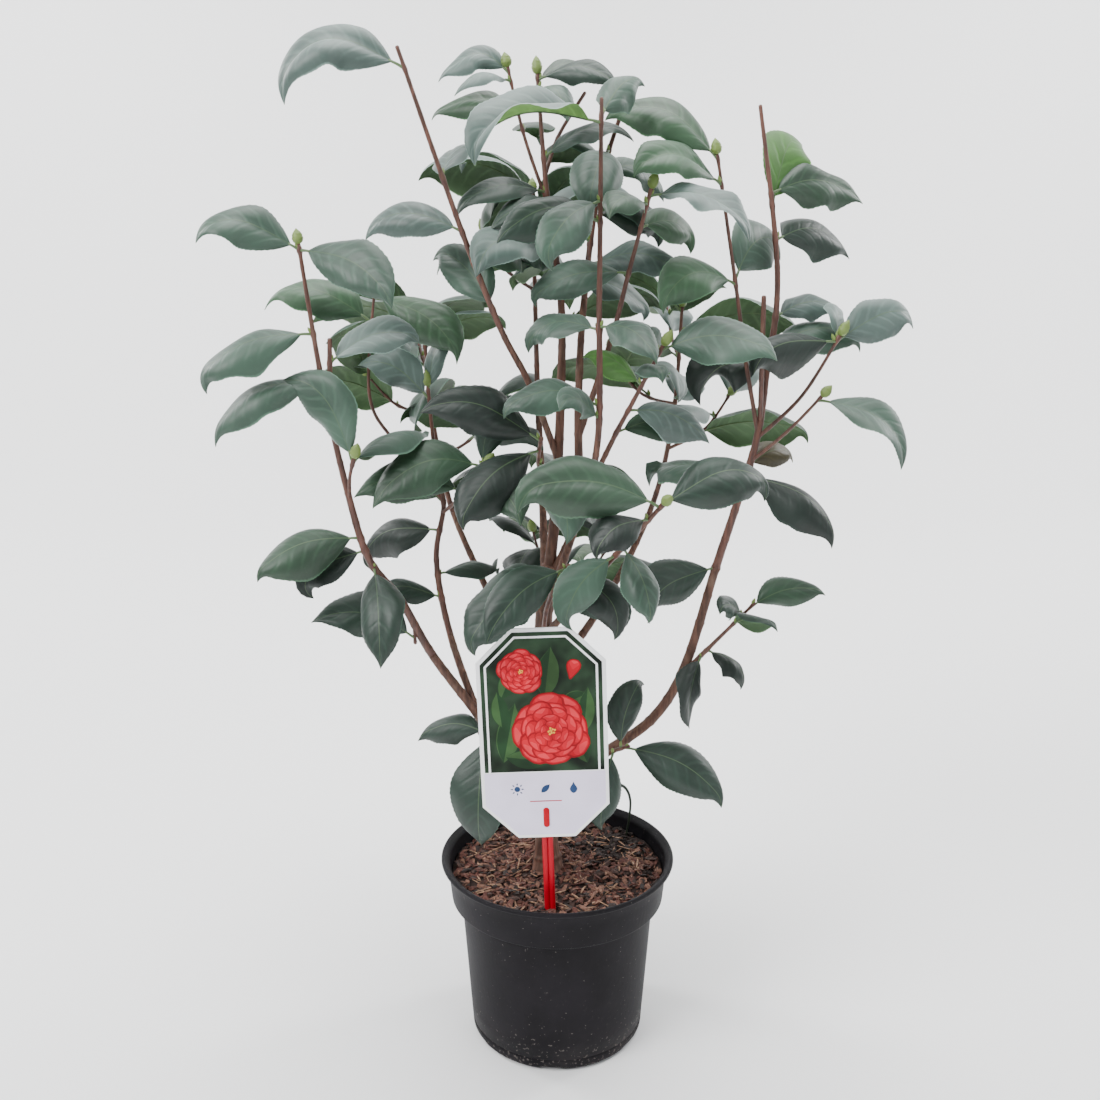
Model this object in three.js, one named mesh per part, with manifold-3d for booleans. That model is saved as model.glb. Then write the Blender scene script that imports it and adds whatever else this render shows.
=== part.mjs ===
/**
 * A young camellia shrub in a round nursery pot, with a plant label on a stick.
 *
 * Millimetres, +X right, +Y back, +Z up. The origin is the centre of the pot's flat underside.
 * The shrub is a trunk, boughs and masses of leaves. Every bough carries on into one mass: both lie
 * on one smooth line, a "leader", that starts on the limb it grew from.
 */
import * as THREE from 'three';
import { mergeVertices } from 'three/addons/utils/BufferGeometryUtils.js';
import Module from 'manifold-3d';

const wasm = await Module();
wasm.setup();

// ---------------------------------------------------------------- driving dimensions

const CLEARANCE = 0.3; // gap between neighbouring solids

const POT = {
  height: 155,
  rimRadius: 95,
  rimDepth: 4, // height of the lip
  collarTop: 90, // collar radius under the lip
  collarFoot: 87, // collar radius at its lower edge
  collarDepth: 34, // from the rim to the collar's lower edge
  shoulder: 79, // body radius under the collar
  baseRadius: 68,
  chamfer: 3,
  wall: 1.8,
  floorHeight: 3,
  notches: 6, // drainage arches in the foot
  firstNotch: -4, // degrees round from the front
  notchWidth: 22,
  notchHeight: 4.5,
  notchDepth: 14,
  notchSides: 10,
  sides: 32,
};

const SOIL_LEVEL = 143;
const SOIL_WIDENING = 1.6; // how much wider the pot is at the soil's surface than at the collar's foot

const LABEL = {
  width: 95,
  height: 166,
  corner: 26, // length of each cut corner, along both edges
  thickness: 1.2,
  foot: [-8, -68, 205], // middle of the lower edge
  lean: 2, // degrees to the left
};

const STICK = { width: 8.4, thickness: 3, buried: 55, behindLabel: 26 };

const TRUNK = {
  path: [[-8, -5, SOIL_LEVEL], [-10, 0, 206], [-12, 5, 286], [-11, 8, 350], [-6, 8, 398]],
  radius: [8.5, 6.5],
  flare: 4.5, // extra radius at the soil
  flareHeight: 16,
};

// How a leaf is made. Its root is narrow and lies inside its twig.
const LEAF = {
  topGap: 5, // from a shoot's tip to its first leaf
  rootWidth: 0.9,
  rootThickness: 1,
  widthRatio: 0.45, // full width as a share of the length
  thicknessRatio: 1 / 55,
  stations: [[0.36, 0.94], [0.7, 0.84]], // share of the length, share of the full width
  droop: 56, // degrees that the blade turns down from its root to its tip
};

// The most that a leaf differs from the rule: degrees of droop and of sideways bend, the lean of its
// face on each axis, and the share of its width.
const TEMPER = { bend: 14, sway: 14, lean: [0.35, 0.35, 0.2], width: 0.09 };

// Blades face up and outwards. Outwards grows to its full weight at `reach` from the middle.
const FACING = { middle: [0, 60], reach: [150, 80], outward: 1.2 };

// A bud's stations are shares of its length and of its radius.
const BUD = { length: 15, radius: 3.4, sides: 4, stations: [[-0.1, 0.28], [0.35, 1]], tip: 0.85 };

// Turns that a leaf tries, in degrees of bearing and slope, until it lies clear of the rest.
const LEAF_TURNS = [
  [0, 0], [12, 0], [-12, 0], [0, 14], [0, -14], [24, 10], [-24, 10], [24, -14], [-24, -14], [40, 0],
  [-40, 0], [0, 30], [60, 10], [-60, 10],
];
const LEAF_MARGIN = 1.3; // room kept round a leaf, on every side
const TWIG_MARGIN = 1; // and round a twig or bud

// How far a joined mass's faces may move, to save triangles. The first that leaves it sound is taken,
// with corners closer than WELD counted as one.
const SIMPLIFY = [0.05, 0.03, 0.08, 0.02, 0.12];
const WELD = 0.003;

const TRUNK_SIDES = 10;
const BOUGH_SIDES = 6;
const TWIG_SIDES = 4;
const SPAN_STEPS = 3; // straight pieces between two waypoints of a limb

const COLOURS = {
  pot: [0x26262a, 0.62],
  soil: [0x4d2f22, 0.95],
  label: [0xe8e6f2, 0.35],
  stick: [0xc01522, 0.35],
  bark: [0x5b3a2e, 0.8],
  leaves: [0x2c4a36, 0.5],
};

/*
 * Leaders. `on` and `at` give the limb that a leader grew from and the share of that limb's length.
 * `path` holds its waypoints, `radius` its thickness at the root and at the tip, and `parts` its
 * nodes with the number of waypoints each of them ends at. The last part is a mass of leaves.
 */
const LEADERS = [
  {
    on: 'trunk', at: 0.2, radius: [4.4, 1.3],
    path: [[-62, -15, 281], [-96, -25, 335], [-118, -32, 381], [-139, -38, 413], [-151, -42, 459],
      [-166, -45, 542], [-177, -50, 639]],
    parts: { left_outer_bough: 2, left_outer_leaves: 7 },
  },
  {
    on: 'left_outer_bough', at: 0.62, radius: [3.2, 1.2],
    path: [[-84, -4, 345], [-94, 4, 402], [-88, 10, 444], [-93, 12, 471], [-99, 20, 535]],
    parts: { left_inner_bough: 1, left_inner_leaves: 5 },
  },
  {
    on: 'trunk', at: 0.26, radius: [4.6, 1.4],
    path: [[44, 0, 247], [78, 0, 275], [101, 0, 318], [122, 0, 397], [136, 0, 446], [149, 0, 496],
      [155, 5, 541], [161, 10, 617], [144, 15, 735]],
    parts: { right_lower_bough: 3, right_upper_bough: 4, right_top_leaves: 9 },
  },
  {
    on: 'trunk', at: 0.98, radius: [4.6, 1.2],
    path: [[-2, 9, 440], [2, 10, 525], [2, 12, 600], [-8, 12, 670], [-15, 15, 756]],
    parts: { centre_bough: 3, centre_top_leaves: 5 },
  },
  {
    on: 'trunk', at: 0.93, radius: [4, 1.4],
    path: [[14, 0, 437], [15, -5, 527], [19, 2, 600], [30, 16, 680], [50, 28, 743]],
    parts: { second_bough: 3, second_top_leaves: 5 },
  },
  {
    on: 'trunk', at: 0.84, radius: [3.2, 1.3],
    path: [[14, -28, 440], [28, -45, 503], [28, -48, 601], [28, -50, 732]],
    parts: { front_bough: 2, front_leaves: 4 },
  },
  {
    on: 'centre_bough', at: 0.42, radius: [2.8, 1.4],
    path: [[-21, -4, 538], [-42, -12, 580], [-69, -25, 651], [-108, -35, 766]],
    parts: { top_left_bough: 2, top_left_leaves: 4 },
  },
  {
    on: 'second_bough', at: 0.55, radius: [2.6, 1.2],
    path: [[38, -15, 571], [50, -22, 620], [64, -30, 676]],
    parts: { right_centre_bough: 1, right_centre_leaves: 3 },
  },
  {
    on: 'second_bough', at: 0.28, radius: [2.6, 1.2],
    path: [[40, -22, 500], [52, -28, 525], [74, -40, 570]],
    parts: { right_mid_bough: 1, right_mid_leaves: 3 },
  },
  {
    on: 'trunk', at: 0.76, radius: [3, 1.5],
    path: [[30, -45, 405], [48, -75, 435], [70, -110, 471]],
    parts: { right_front_bough: 1, right_front_leaves: 3 },
  },
  {
    on: 'centre_bough', at: 0.2, radius: [2.4, 1.2],
    path: [[-14, -20, 480], [-12, -42, 505]],
    parts: { centre_front_leaves: 2 },
  },
  {
    on: 'trunk', at: 0.7, radius: [2.4, 1.2],
    path: [[-8, -30, 375], [8, -58, 415]],
    parts: { low_front_leaves: 2 },
  },
  {
    on: 'trunk', at: 0.45, radius: [2.4, 1.2],
    path: [[-38, -22, 268], [-61, -38, 276]],
    parts: { low_left_leaves: 2 },
  },
  {
    on: 'trunk', at: 0.36, radius: [2.4, 1.2],
    path: [[20, -20, 246], [56, -30, 262]],
    parts: { low_right_leaves: 2 },
  },
  {
    on: 'right_lower_bough', at: 0.94, radius: [2, 1.1],
    path: [[120, -10, 338], [150, -20, 375]],
    parts: { right_low_leaves: 2 },
  },
  {
    on: 'trunk', at: 0.52, radius: [3.6, 1.3],
    path: [[-50, 55, 345], [-88, 95, 420], [-104, 112, 490], [-112, 120, 575]],
    parts: { back_left_bough: 2, back_left_leaves: 4 },
  },
  {
    on: 'trunk', at: 0.6, radius: [3.6, 1.3],
    path: [[40, 55, 355], [80, 95, 425], [98, 112, 500], [104, 120, 590]],
    parts: { back_right_bough: 2, back_right_leaves: 4 },
  },
  {
    on: 'trunk', at: 0.88, radius: [3.6, 1.3],
    path: [[-12, 50, 440], [-16, 85, 520], [-18, 100, 590], [-20, 105, 680]],
    parts: { back_middle_bough: 2, back_middle_leaves: 4 },
  },
  {
    on: 'trunk', at: 0.3, radius: [3, 1.3],
    path: [[-14, 60, 245], [-10, 105, 300], [-6, 130, 370], [-4, 140, 430]],
    parts: { back_low_bough: 2, back_low_leaves: 4 },
  },
];

/*
 * Masses of leaves. `leaves` are those on the leader itself, each as its distance below the tip,
 * its bearing (0 right, 90 back), the slope of its blade, its length and, where it isn't the usual,
 * its droop. `shoots` leave the leader at a distance below its tip. `tip` tells what ends a shoot: a
 * bud, a blunt pruned cane or bare wood. `twigs` adds side twigs, and `spiral` adds leaves, by the
 * seeded rule.
 */
const MASSES = {
  left_outer_leaves: {
    seed: 11, tip: 'bud',
    leaves: [[5, 195, 0, 74, 75], [5, 330, -24, 86], [62, 190, -22, 92], [97, 190, -24, 92],
      [212, 200, -16, 82], [222, 190, -45, 62], [236, 280, -52, 78]],
    shoots: [
      { below: 122, path: [[-159, -48, 575]], radius: [1.9, 1.7], tip: 'blunt', leaves: [[18, 10, 15, 68]] },
      {
        below: 182, path: [[-148, -55, 478], [-143, -62, 494]], radius: [1.4, 1.2], tip: 'bud',
        leaves: [[4, 165, 45, 80], [7, 55, 4, 85]],
      },
      { below: 290, path: [[-108, -30, 345]], radius: [1.3, 1.1], tip: 'bare', leaves: [[2, 190, 12, 78]] },
    ],
  },
  left_inner_leaves: {
    seed: 12, tip: 'bud',
    leaves: [[10, 165, 25, 60], [4, 45, 55, 50], [90, 150, 10, 72], [112, 160, -30, 82], [147, 35, -12, 58],
      [165, 225, -10, 55]],
    shoots: [
      {
        below: 88, path: [[-125, 24, 490], [-145, 30, 527], [-139, 35, 605]], radius: [1.6, 1], tip: 'bud',
        leaves: [[24, 185, 8, 88], [4, 338, -34, 85]],
      },
      {
        below: 98, path: [[-70, -12, 458], [-52, -30, 484]], radius: [1.6, 1.2], tip: 'bud',
        leaves: [[3, 195, 2, 90], [38, 215, 8, 85], [6, 20, 60, 62], [14, 300, -20, 70]],
      },
    ],
  },
  right_top_leaves: {
    seed: 13, tip: 'blunt',
    leaves: [[62, 25, 0, 84], [70, 60, 30, 62], [95, 35, -4, 85], [150, 20, 6, 58], [172, 345, -8, 78],
      [184, 165, -32, 66], [262, 35, 5, 52], [270, 340, -38, 88], [276, 150, 2, 85], [345, 210, -32, 76]],
    shoots: [
      {
        below: 236, path: [[138, -4, 555], [129, -5, 606], [111, -10, 700]], radius: [1.8, 1.1], tip: 'bud',
        leaves: [[4, 165, 22, 92], [22, 198, 4, 80], [92, 215, -14, 78, 80], [88, 42, 20, 88]],
      },
      { below: 228, path: [[148, -14, 560], [147, -16, 603]], radius: [1.9, 1.8], tip: 'blunt', leaves: [] },
      {
        below: 240, path: [[180, -6, 530], [205, -10, 575]], radius: [1.6, 1.1], tip: 'bud',
        leaves: [[6, 205, -16, 76], [3, 100, 22, 45], [2, 20, 8, 72]],
      },
      {
        below: 258, path: [[170, -12, 505], [192, -20, 532]], radius: [1.4, 1.1], tip: 'bud',
        leaves: [[2, 345, -36, 84]],
      },
    ],
  },
  centre_top_leaves: {
    seed: 14, tip: 'bud',
    leaves: [[4, 35, 12, 56], [2, 335, -4, 62], [10, 300, -30, 50], [58, 20, 5, 70], [82, 205, -10, 74]],
    shoots: [
      {
        below: 90, path: [[-24, 10, 712], [-36, 10, 760]], radius: [1.4, 1], tip: 'bud',
        leaves: [[3, 175, 4, 58, 90], [11, 215, -10, 50], [30, 165, 0, 66], [44, 80, 0, 70]],
      },
      { below: 70, path: [[0, 32, 715], [20, 42, 747]], radius: [1.5, 1.3], tip: 'blunt', leaves: [] },
    ],
    spiral: { count: 3, from: 100, gap: 20, start: 100 },
  },
  second_top_leaves: {
    seed: 15, tip: 'blunt',
    leaves: [[42, 255, -32, 84], [50, 160, -5, 72], [58, 30, -12, 62], [76, 25, -22, 66]],
    shoots: [],
    spiral: { count: 3, from: 92, gap: 18, start: 20 },
  },
  front_leaves: {
    seed: 16, tip: 'blunt',
    leaves: [[16, 208, -14, 104], [12, 50, 26, 56], [66, 225, -34, 72], [80, 200, -6, 78, 80],
      [152, 150, -14, 66], [150, 310, -18, 62], [205, 190, 4, 74], [214, 235, 14, 54]],
    shoots: [],
  },
  top_left_leaves: {
    seed: 17, tip: 'blunt',
    leaves: [[15, 190, -12, 104, 88], [88, 82, 8, 74], [127, 170, -4, 76, 80], [150, 60, -6, 70],
      [185, 140, 35, 72]],
    shoots: [],
  },
  right_centre_leaves: {
    seed: 18, tip: 'bud',
    leaves: [[2, 320, 60, 54], [6, 335, -14, 82], [12, 215, -20, 60], [28, 45, -10, 68], [60, 170, -15, 74]],
    shoots: [],
  },
  right_mid_leaves: {
    seed: 19, tip: 'bud',
    leaves: [[3, 335, 2, 84], [7, 120, 0, 62], [26, 280, 5, 50], [34, 200, 28, 48], [55, 10, -20, 66],
      [74, 20, -5, 70]],
    shoots: [],
  },
  right_front_leaves: {
    seed: 20, tip: 'bud',
    leaves: [[6, 187, 8, 104], [2, 14, 0, 90], [22, 230, -16, 62], [62, 300, -52, 60], [74, 200, -50, 66]],
    shoots: [],
  },
  centre_front_leaves: {
    seed: 21, tip: 'bare',
    leaves: [[2, 190, 12, 90], [6, 330, 12, 80], [16, 205, -38, 92], [30, 300, -48, 70]],
    shoots: [],
  },
  low_front_leaves: {
    seed: 22, tip: 'bare',
    leaves: [[2, 250, -32, 80], [4, 345, -45, 66], [14, 200, -32, 92], [34, 150, -20, 70], [38, 20, -20, 66]],
    shoots: [],
  },
  low_left_leaves: {
    seed: 23, tip: 'bare',
    leaves: [[2, 262, -66, 88], [8, 165, -6, 60], [26, 110, 8, 60]],
    shoots: [],
  },
  low_right_leaves: {
    seed: 24, tip: 'bare',
    leaves: [[2, 342, -24, 88], [8, 55, 58, 62], [14, 250, -62, 62]],
    shoots: [],
  },
  right_low_leaves: {
    seed: 25, tip: 'bare',
    leaves: [[3, 0, 12, 58], [15, 235, 24, 42], [24, 300, 12, 52], [62, 250, -64, 62], [56, 335, -40, 46]],
    shoots: [],
  },
  back_left_leaves: { seed: 31, tip: 'bud', leaves: [], shoots: [], twigs: { count: 3, reach: 70 } },
  back_right_leaves: { seed: 32, tip: 'bud', leaves: [], shoots: [], twigs: { count: 3, reach: 70 } },
  back_middle_leaves: { seed: 33, tip: 'bud', leaves: [], shoots: [], twigs: { count: 3, reach: 70 } },
  back_low_leaves: { seed: 34, tip: 'bud', leaves: [], shoots: [], twigs: { count: 3, reach: 65 } },
};

// The seeded rule: side twigs round a leader, and leaves in a spiral down a twig.
const RULE = {
  firstTwig: 90, // degrees of bearing
  twigTurn: 137.5, // degrees of bearing from one twig to the next
  twigRise: 38, // degrees above level
  riseJitter: 10,
  twigBend: [-12, 14], // degrees added to the rise of a twig's lower and upper half
  twigRadius: [1.5, 1],
  twigSpan: [0.25, 0.68], // first twig below the tip and the spread of the rest, as shares of the leader
  twigReach: [0.85, 1.15], // shortest and longest twig, as shares of the mass's reach
  leafTurn: 144,
  leafGap: 19, // from one leaf to the next
  gapJitter: 0.2,
  firstLeaf: 3, // below the tip
  leavesPerTwig: 3,
  leavesOnLeader: 5,
  startOnTwig: 70, // bearing of a twig's first leaf, from the twig's own
  startOnLeader: 200, // bearing of a leader's first leaf
  slope: 14, // degrees, at the tip
  slopePerMm: -0.2, // degrees for each mm below the tip
  slopeJitter: 10,
  length: [74, 100],
  jitter: 22, // degrees of bearing
};

// ---------------------------------------------------------------- small helpers

const radians = THREE.MathUtils.degToRad;
const vector = (point) => new THREE.Vector3(...point);

/** A repeatable source of numbers from 0 to 1. */
function seeded(seed) {
  let state = seed;
  return () => {
    state = (Math.imul(state, 1664525) + 1013904223) >>> 0;
    return state / 2 ** 32;
  };
}

/** A number from -amount to amount. */
const spread = (random, amount) => (random() * 2 - 1) * amount;

/** The direction with a bearing and a slope, in degrees. */
function direction(bearing, slope) {
  const level = Math.cos(radians(slope));
  const x = Math.cos(radians(bearing)) * level;
  const y = Math.sin(radians(bearing)) * level;
  return new THREE.Vector3(x, y, Math.sin(radians(slope)));
}

/** A closed geometry as a solid that can be joined and cut. */
function solidOf(geometry) {
  const plain = geometry.index ? geometry.clone() : geometry;
  plain.deleteAttribute('normal');
  plain.deleteAttribute('uv');
  const merged = mergeVertices(plain, 1e-4);
  const vertProperties = new Float32Array(merged.attributes.position.array);
  const triVerts = new Uint32Array(merged.index.array);
  return new wasm.Manifold(new wasm.Mesh({ numProp: 3, vertProperties, triVerts }));
}

/** The largest single body of a solid. */
function largestBody(solid) {
  const bodies = solid.decompose();
  return bodies.reduce((best, body) => (body.volume() > best.volume() ? body : best));
}

function geometryOf(solid) {
  const { vertProperties, triVerts, numProp } = solid.getMesh();
  if (numProp !== 3) throw new Error('a solid holds positions only');
  const geometry = new THREE.BufferGeometry();
  geometry.setAttribute('position', new THREE.BufferAttribute(new Float32Array(vertProperties), 3));
  geometry.setIndex(new THREE.BufferAttribute(new Uint32Array(triVerts), 1));
  geometry.computeVertexNormals();
  return geometry;
}

/**
 * Whether a solid stays sound once its close corners are welded: every edge between two faces, and
 * no two parts of its skin pinched together, which would change its count of corners.
 */
function staysSound(solid) {
  const geometry = geometryOf(solid).deleteAttribute('normal');
  const corners = Array.from(mergeVertices(geometry, WELD).index.array);
  const triangles = corners.filter((_, i) => i % 3 === 0).map((_, i) => corners.slice(3 * i, 3 * i + 3));
  const faces = triangles.filter((face) => new Set(face).size === 3);
  const edges = new Set(faces.flatMap((face) => face.map((corner, k) => `${corner} ${face[(k + 1) % 3]}`)));
  const opposite = (edge) => edge.split(' ').reverse().join(' ');
  const isClosed = edges.size === 3 * faces.length && [...edges].every((edge) => edges.has(opposite(edge)));
  const euler = new Set(faces.flat()).size - edges.size / 2 + faces.length;
  return isClosed && euler === 2 - 2 * solid.genus();
}

/**
 * A closed skin over rings of points. A ring with one point is a tip. Rings with more points are
 * joined by quads, and the first and last rings are closed with a fan.
 */
function skin(rings) {
  const positions = [];
  const triangles = [];
  const firsts = rings.map((ring) => {
    const first = positions.length / 3;
    ring.forEach((point) => positions.push(point.x, point.y, point.z));
    return first;
  });
  const fan = (first, count, flip) => {
    for (let k = 1; k < count - 1; k++) {
      triangles.push(first, flip ? first + k + 1 : first + k, flip ? first + k : first + k + 1);
    }
  };
  for (let i = 0; i < rings.length - 1; i++) {
    const sides = Math.max(rings[i].length, rings[i + 1].length);
    for (let k = 0; k < sides; k++) {
      const next = (k + 1) % sides;
      const near = (j) => firsts[i] + (rings[i].length > 1 ? j : 0);
      const far = (j) => firsts[i + 1] + (rings[i + 1].length > 1 ? j : 0);
      if (rings[i].length > 1) triangles.push(near(k), near(next), far(next));
      if (rings[i + 1].length > 1) triangles.push(near(k), far(next), far(k));
    }
  }
  fan(firsts[0], rings[0].length, true);
  fan(firsts[rings.length - 1], rings[rings.length - 1].length, false);
  const geometry = new THREE.BufferGeometry();
  geometry.setAttribute('position', new THREE.BufferAttribute(new Float32Array(positions), 3));
  geometry.setIndex(triangles);
  return geometry;
}

// ---------------------------------------------------------------- limbs

/** The Catmull-Rom weights of four waypoints at `t` between the second and the third. */
function easeWeights(t) {
  const [t2, t3] = [t * t, t * t * t];
  return [(2 * t2 - t - t3) / 2, (2 - 5 * t2 + 3 * t3) / 2, (t + 4 * t2 - 3 * t3) / 2, (t3 - t2) / 2];
}

/** A smooth line through waypoints, as a list of points. */
function smoothLine(waypoints) {
  const line = [];
  const last = waypoints.length - 1;
  for (let i = 0; i < last; i++) {
    const four = [i - 1, i, i + 1, i + 2].map((k) => waypoints[THREE.MathUtils.clamp(k, 0, last)]);
    for (let k = 0; k < SPAN_STEPS; k++) {
      const weights = easeWeights(k / SPAN_STEPS);
      const point = new THREE.Vector3();
      four.forEach((waypoint, j) => point.addScaledVector(waypoint, weights[j]));
      line.push(point);
    }
  }
  line.push(waypoints[last].clone());
  return line;
}

/** A limb: points along its middle, the radius at each, and the direction at its root. */
function limbAlong(line, radius, rootDirection = null) {
  const lengths = [0];
  for (let i = 1; i < line.length; i++) lengths.push(lengths[i - 1] + line[i].distanceTo(line[i - 1]));
  const total = lengths[line.length - 1];
  const radii = lengths.map((length) => THREE.MathUtils.lerp(radius[0], radius[1], length / total));
  return { line, lengths, radii, rootDirection };
}

/** The direction of a limb at one of its points. */
function heading(limb, i) {
  const { line } = limb;
  if (i === 0 && limb.rootDirection) return limb.rootDirection.clone();
  const ahead = line[Math.min(i + 1, line.length - 1)];
  const behind = line[Math.max(i - 1, 0)];
  return ahead.clone().sub(behind).normalize();
}

/** The point on a limb's middle at a distance below its tip. */
function placeBelow(limb, below) {
  const { line, lengths } = limb;
  const along = Math.max(lengths[lengths.length - 1] - below, 0);
  let i = 1;
  while (i < line.length - 1 && lengths[i] < along) i++;
  const t = (along - lengths[i - 1]) / (lengths[i] - lengths[i - 1]);
  return line[i - 1].clone().lerp(line[i], t);
}

/** The limb as a closed tube, its skin moved out by `grow`. */
function tube(limb, sides, grow = 0) {
  const aside = new THREE.Vector3(0, -1, 0);
  const last = limb.line.length - 1;
  const rings = limb.line.map((middle, i) => {
    const along = heading(limb, i);
    const centre = middle.clone();
    if (i === 0) centre.addScaledVector(along, -grow);
    if (i === last) centre.addScaledVector(along, grow);
    aside.addScaledVector(along, -aside.dot(along)).normalize();
    const across = new THREE.Vector3().crossVectors(along, aside);
    return ringRound(centre, aside, across, limb.radii[i] + grow, sides);
  });
  return skin(rings);
}

function makeTrunk() {
  const limb = limbAlong(smoothLine(TRUNK.path.map(vector)), TRUNK.radius, new THREE.Vector3(0, 0, 1));
  limb.line[0].z += CLEARANCE;
  limb.lengths.forEach((length, i) => {
    limb.radii[i] += TRUNK.flare * Math.exp(-length / TRUNK.flareHeight);
  });
  return limb;
}

/** Splits a leader into its parts, each starting just clear of the one before. */
function splitLeader(leader, limbs) {
  const parent = limbs[leader.on];
  const parentLength = parent.lengths[parent.lengths.length - 1];
  const root = placeBelow(parent, parentLength * (1 - leader.at));
  const whole = limbAlong(smoothLine([root, ...leader.path.map(vector)]), leader.radius);
  let first = 0;
  return Object.entries(leader.parts).map(([name, waypoint]) => {
    const end = waypoint * SPAN_STEPS;
    const line = whole.line.slice(first, end + 1).map((point) => point.clone());
    const rootDirection = heading(whole, first);
    if (first > 0) line[0].addScaledVector(rootDirection, CLEARANCE);
    const limb = limbAlong(line, [whole.radii[first], whole.radii[end]], rootDirection);
    first = end;
    return [name, limb];
  });
}

// ---------------------------------------------------------------- leaves and buds

/** A leaf's own variations, drawn in a fixed order. */
function leafTemper(random) {
  const bend = spread(random, TEMPER.bend);
  const sway = spread(random, TEMPER.sway);
  const lean = vector(TEMPER.lean.map((amount) => spread(random, amount)));
  const width = LEAF.widthRatio * (1 + spread(random, TEMPER.width));
  return { bend, sway, lean, width };
}

/** The way a blade faces: up, and outwards from the shrub's middle. */
function facing(root, lean) {
  const x = (root.x - FACING.middle[0]) / FACING.reach[0];
  const y = (root.y - FACING.middle[1]) / FACING.reach[1];
  const outward = new THREE.Vector3(x, y, 0).clampLength(0, 1);
  return outward.multiplyScalar(FACING.outward).add(new THREE.Vector3(0, 0, 1)).add(lean).normalize();
}

/** The rings of a leaf from its root to its tip. `from` leaves out the first rings. */
function leafRings(leaf, grow = 0, from = 0) {
  const { root, bearing, slope, length, droop, temper } = leaf;
  const face = facing(root, temper.lean);
  const fullWidth = (length * temper.width) / 2;
  const fullThickness = (length * LEAF.thicknessRatio) / 2;
  const stations = [
    { share: 0, half: [LEAF.rootWidth / 2, LEAF.rootThickness / 2] },
    ...LEAF.stations.map(([share, width]) => ({ share, half: [fullWidth * width, fullThickness] })),
  ];
  const rings = [];
  const middle = root.clone();
  let reached = 0;
  const step = (share) => {
    const at = (reached + share) / 2;
    const way = direction(bearing + temper.sway * (at - 0.5), slope + droop * (0.5 - at));
    middle.addScaledVector(way, (share - reached) * length);
    reached = share;
    return way;
  };
  stations.forEach(({ share, half }) => {
    const way = step(share);
    const normal = face.clone().addScaledVector(way, -face.dot(way)).normalize();
    const side = new THREE.Vector3().crossVectors(normal, way);
    const wide = half[0] + grow;
    const thick = half[1] + grow;
    rings.push([
      middle.clone().addScaledVector(side, wide).addScaledVector(normal, thick),
      middle.clone().addScaledVector(side, -wide).addScaledVector(normal, thick),
      middle.clone().addScaledVector(normal, -thick),
    ]);
  });
  const tipWay = step(1);
  rings.push([middle.addScaledVector(tipWay, grow)]);
  return rings.slice(from);
}

/** A ring of points round a middle, in the plane of two directions. */
function ringRound(middle, aside, across, radius, sides) {
  return Array.from({ length: sides }, (_, k) => {
    const angle = (2 * Math.PI * k) / sides;
    return middle.clone()
      .addScaledVector(aside, radius * Math.cos(angle))
      .addScaledVector(across, radius * Math.sin(angle));
  });
}

/** A bud as a pointed spindle that sits on the end of a shoot. */
function budRings(limb, grow = 0) {
  const end = limb.line[limb.line.length - 1];
  const along = heading(limb, limb.line.length - 1);
  const aside = new THREE.Vector3(0, -1, 0);
  aside.addScaledVector(along, -aside.dot(along)).normalize();
  const across = new THREE.Vector3().crossVectors(along, aside);
  const rings = BUD.stations.map(([share, width]) => {
    const middle = end.clone().addScaledVector(along, share * BUD.length);
    return ringRound(middle, aside, across, width * BUD.radius + grow, BUD.sides);
  });
  rings.push([end.clone().addScaledVector(along, BUD.tip * BUD.length + grow)]);
  return rings;
}

// ---------------------------------------------------------------- masses

/** Leaves in a spiral down a twig, by the seeded rule. */
function spiralLeaves(random, { count, from, gap, start }) {
  return Array.from({ length: count }, (_, i) => {
    const below = from + i * gap + spread(random, gap * RULE.gapJitter);
    const bearing = start + i * RULE.leafTurn + spread(random, RULE.jitter);
    const slope = RULE.slope + RULE.slopePerMm * below + spread(random, RULE.slopeJitter);
    const length = THREE.MathUtils.lerp(...RULE.length, random());
    return [below, bearing, slope, length];
  });
}

/** Side twigs round a leader, by the seeded rule. */
function ruleTwigs(random, leader, { count, reach }) {
  const total = leader.lengths[leader.lengths.length - 1];
  return Array.from({ length: count }, (_, i) => {
    const below = total * (RULE.twigSpan[0] + (RULE.twigSpan[1] * i) / count);
    const bearing = RULE.firstTwig + i * RULE.twigTurn + spread(random, RULE.jitter);
    const rise = RULE.twigRise + spread(random, RULE.riseJitter);
    const length = reach * THREE.MathUtils.lerp(...RULE.twigReach, random());
    const point = placeBelow(leader, below);
    const path = RULE.twigBend.map((bend) => {
      point.addScaledVector(direction(bearing, rise + bend), length / 2);
      return point.toArray();
    });
    const start = bearing + RULE.startOnTwig;
    const spiral = { count: RULE.leavesPerTwig, from: RULE.firstLeaf, gap: RULE.leafGap, start };
    return { below, path, radius: RULE.twigRadius, tip: 'bud', leaves: spiralLeaves(random, spiral) };
  });
}

/** All the twigs of a mass, the leader first, each with its limb and its leaves. */
function growTwigs(name, leader) {
  const mass = MASSES[name];
  const random = seeded(mass.seed);
  const leaves = [...mass.leaves];
  const shoots = [...mass.shoots];
  if (mass.spiral) leaves.push(...spiralLeaves(random, mass.spiral));
  if (mass.twigs) {
    const { leavesOnLeader: count, firstLeaf: from, leafGap: gap, startOnLeader: start } = RULE;
    leaves.push(...spiralLeaves(random, { count, from, gap, start }));
    shoots.push(...ruleTwigs(random, leader, mass.twigs));
  }
  const twigs = [{ limb: leader, tip: mass.tip, leaves }];
  shoots.forEach((shoot) => {
    const start = placeBelow(leader, shoot.below);
    const limb = limbAlong(smoothLine([start, ...shoot.path.map(vector)]), shoot.radius);
    twigs.push({ limb, tip: shoot.tip, leaves: shoot.leaves });
  });
  return { name, random, twigs };
}

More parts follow.
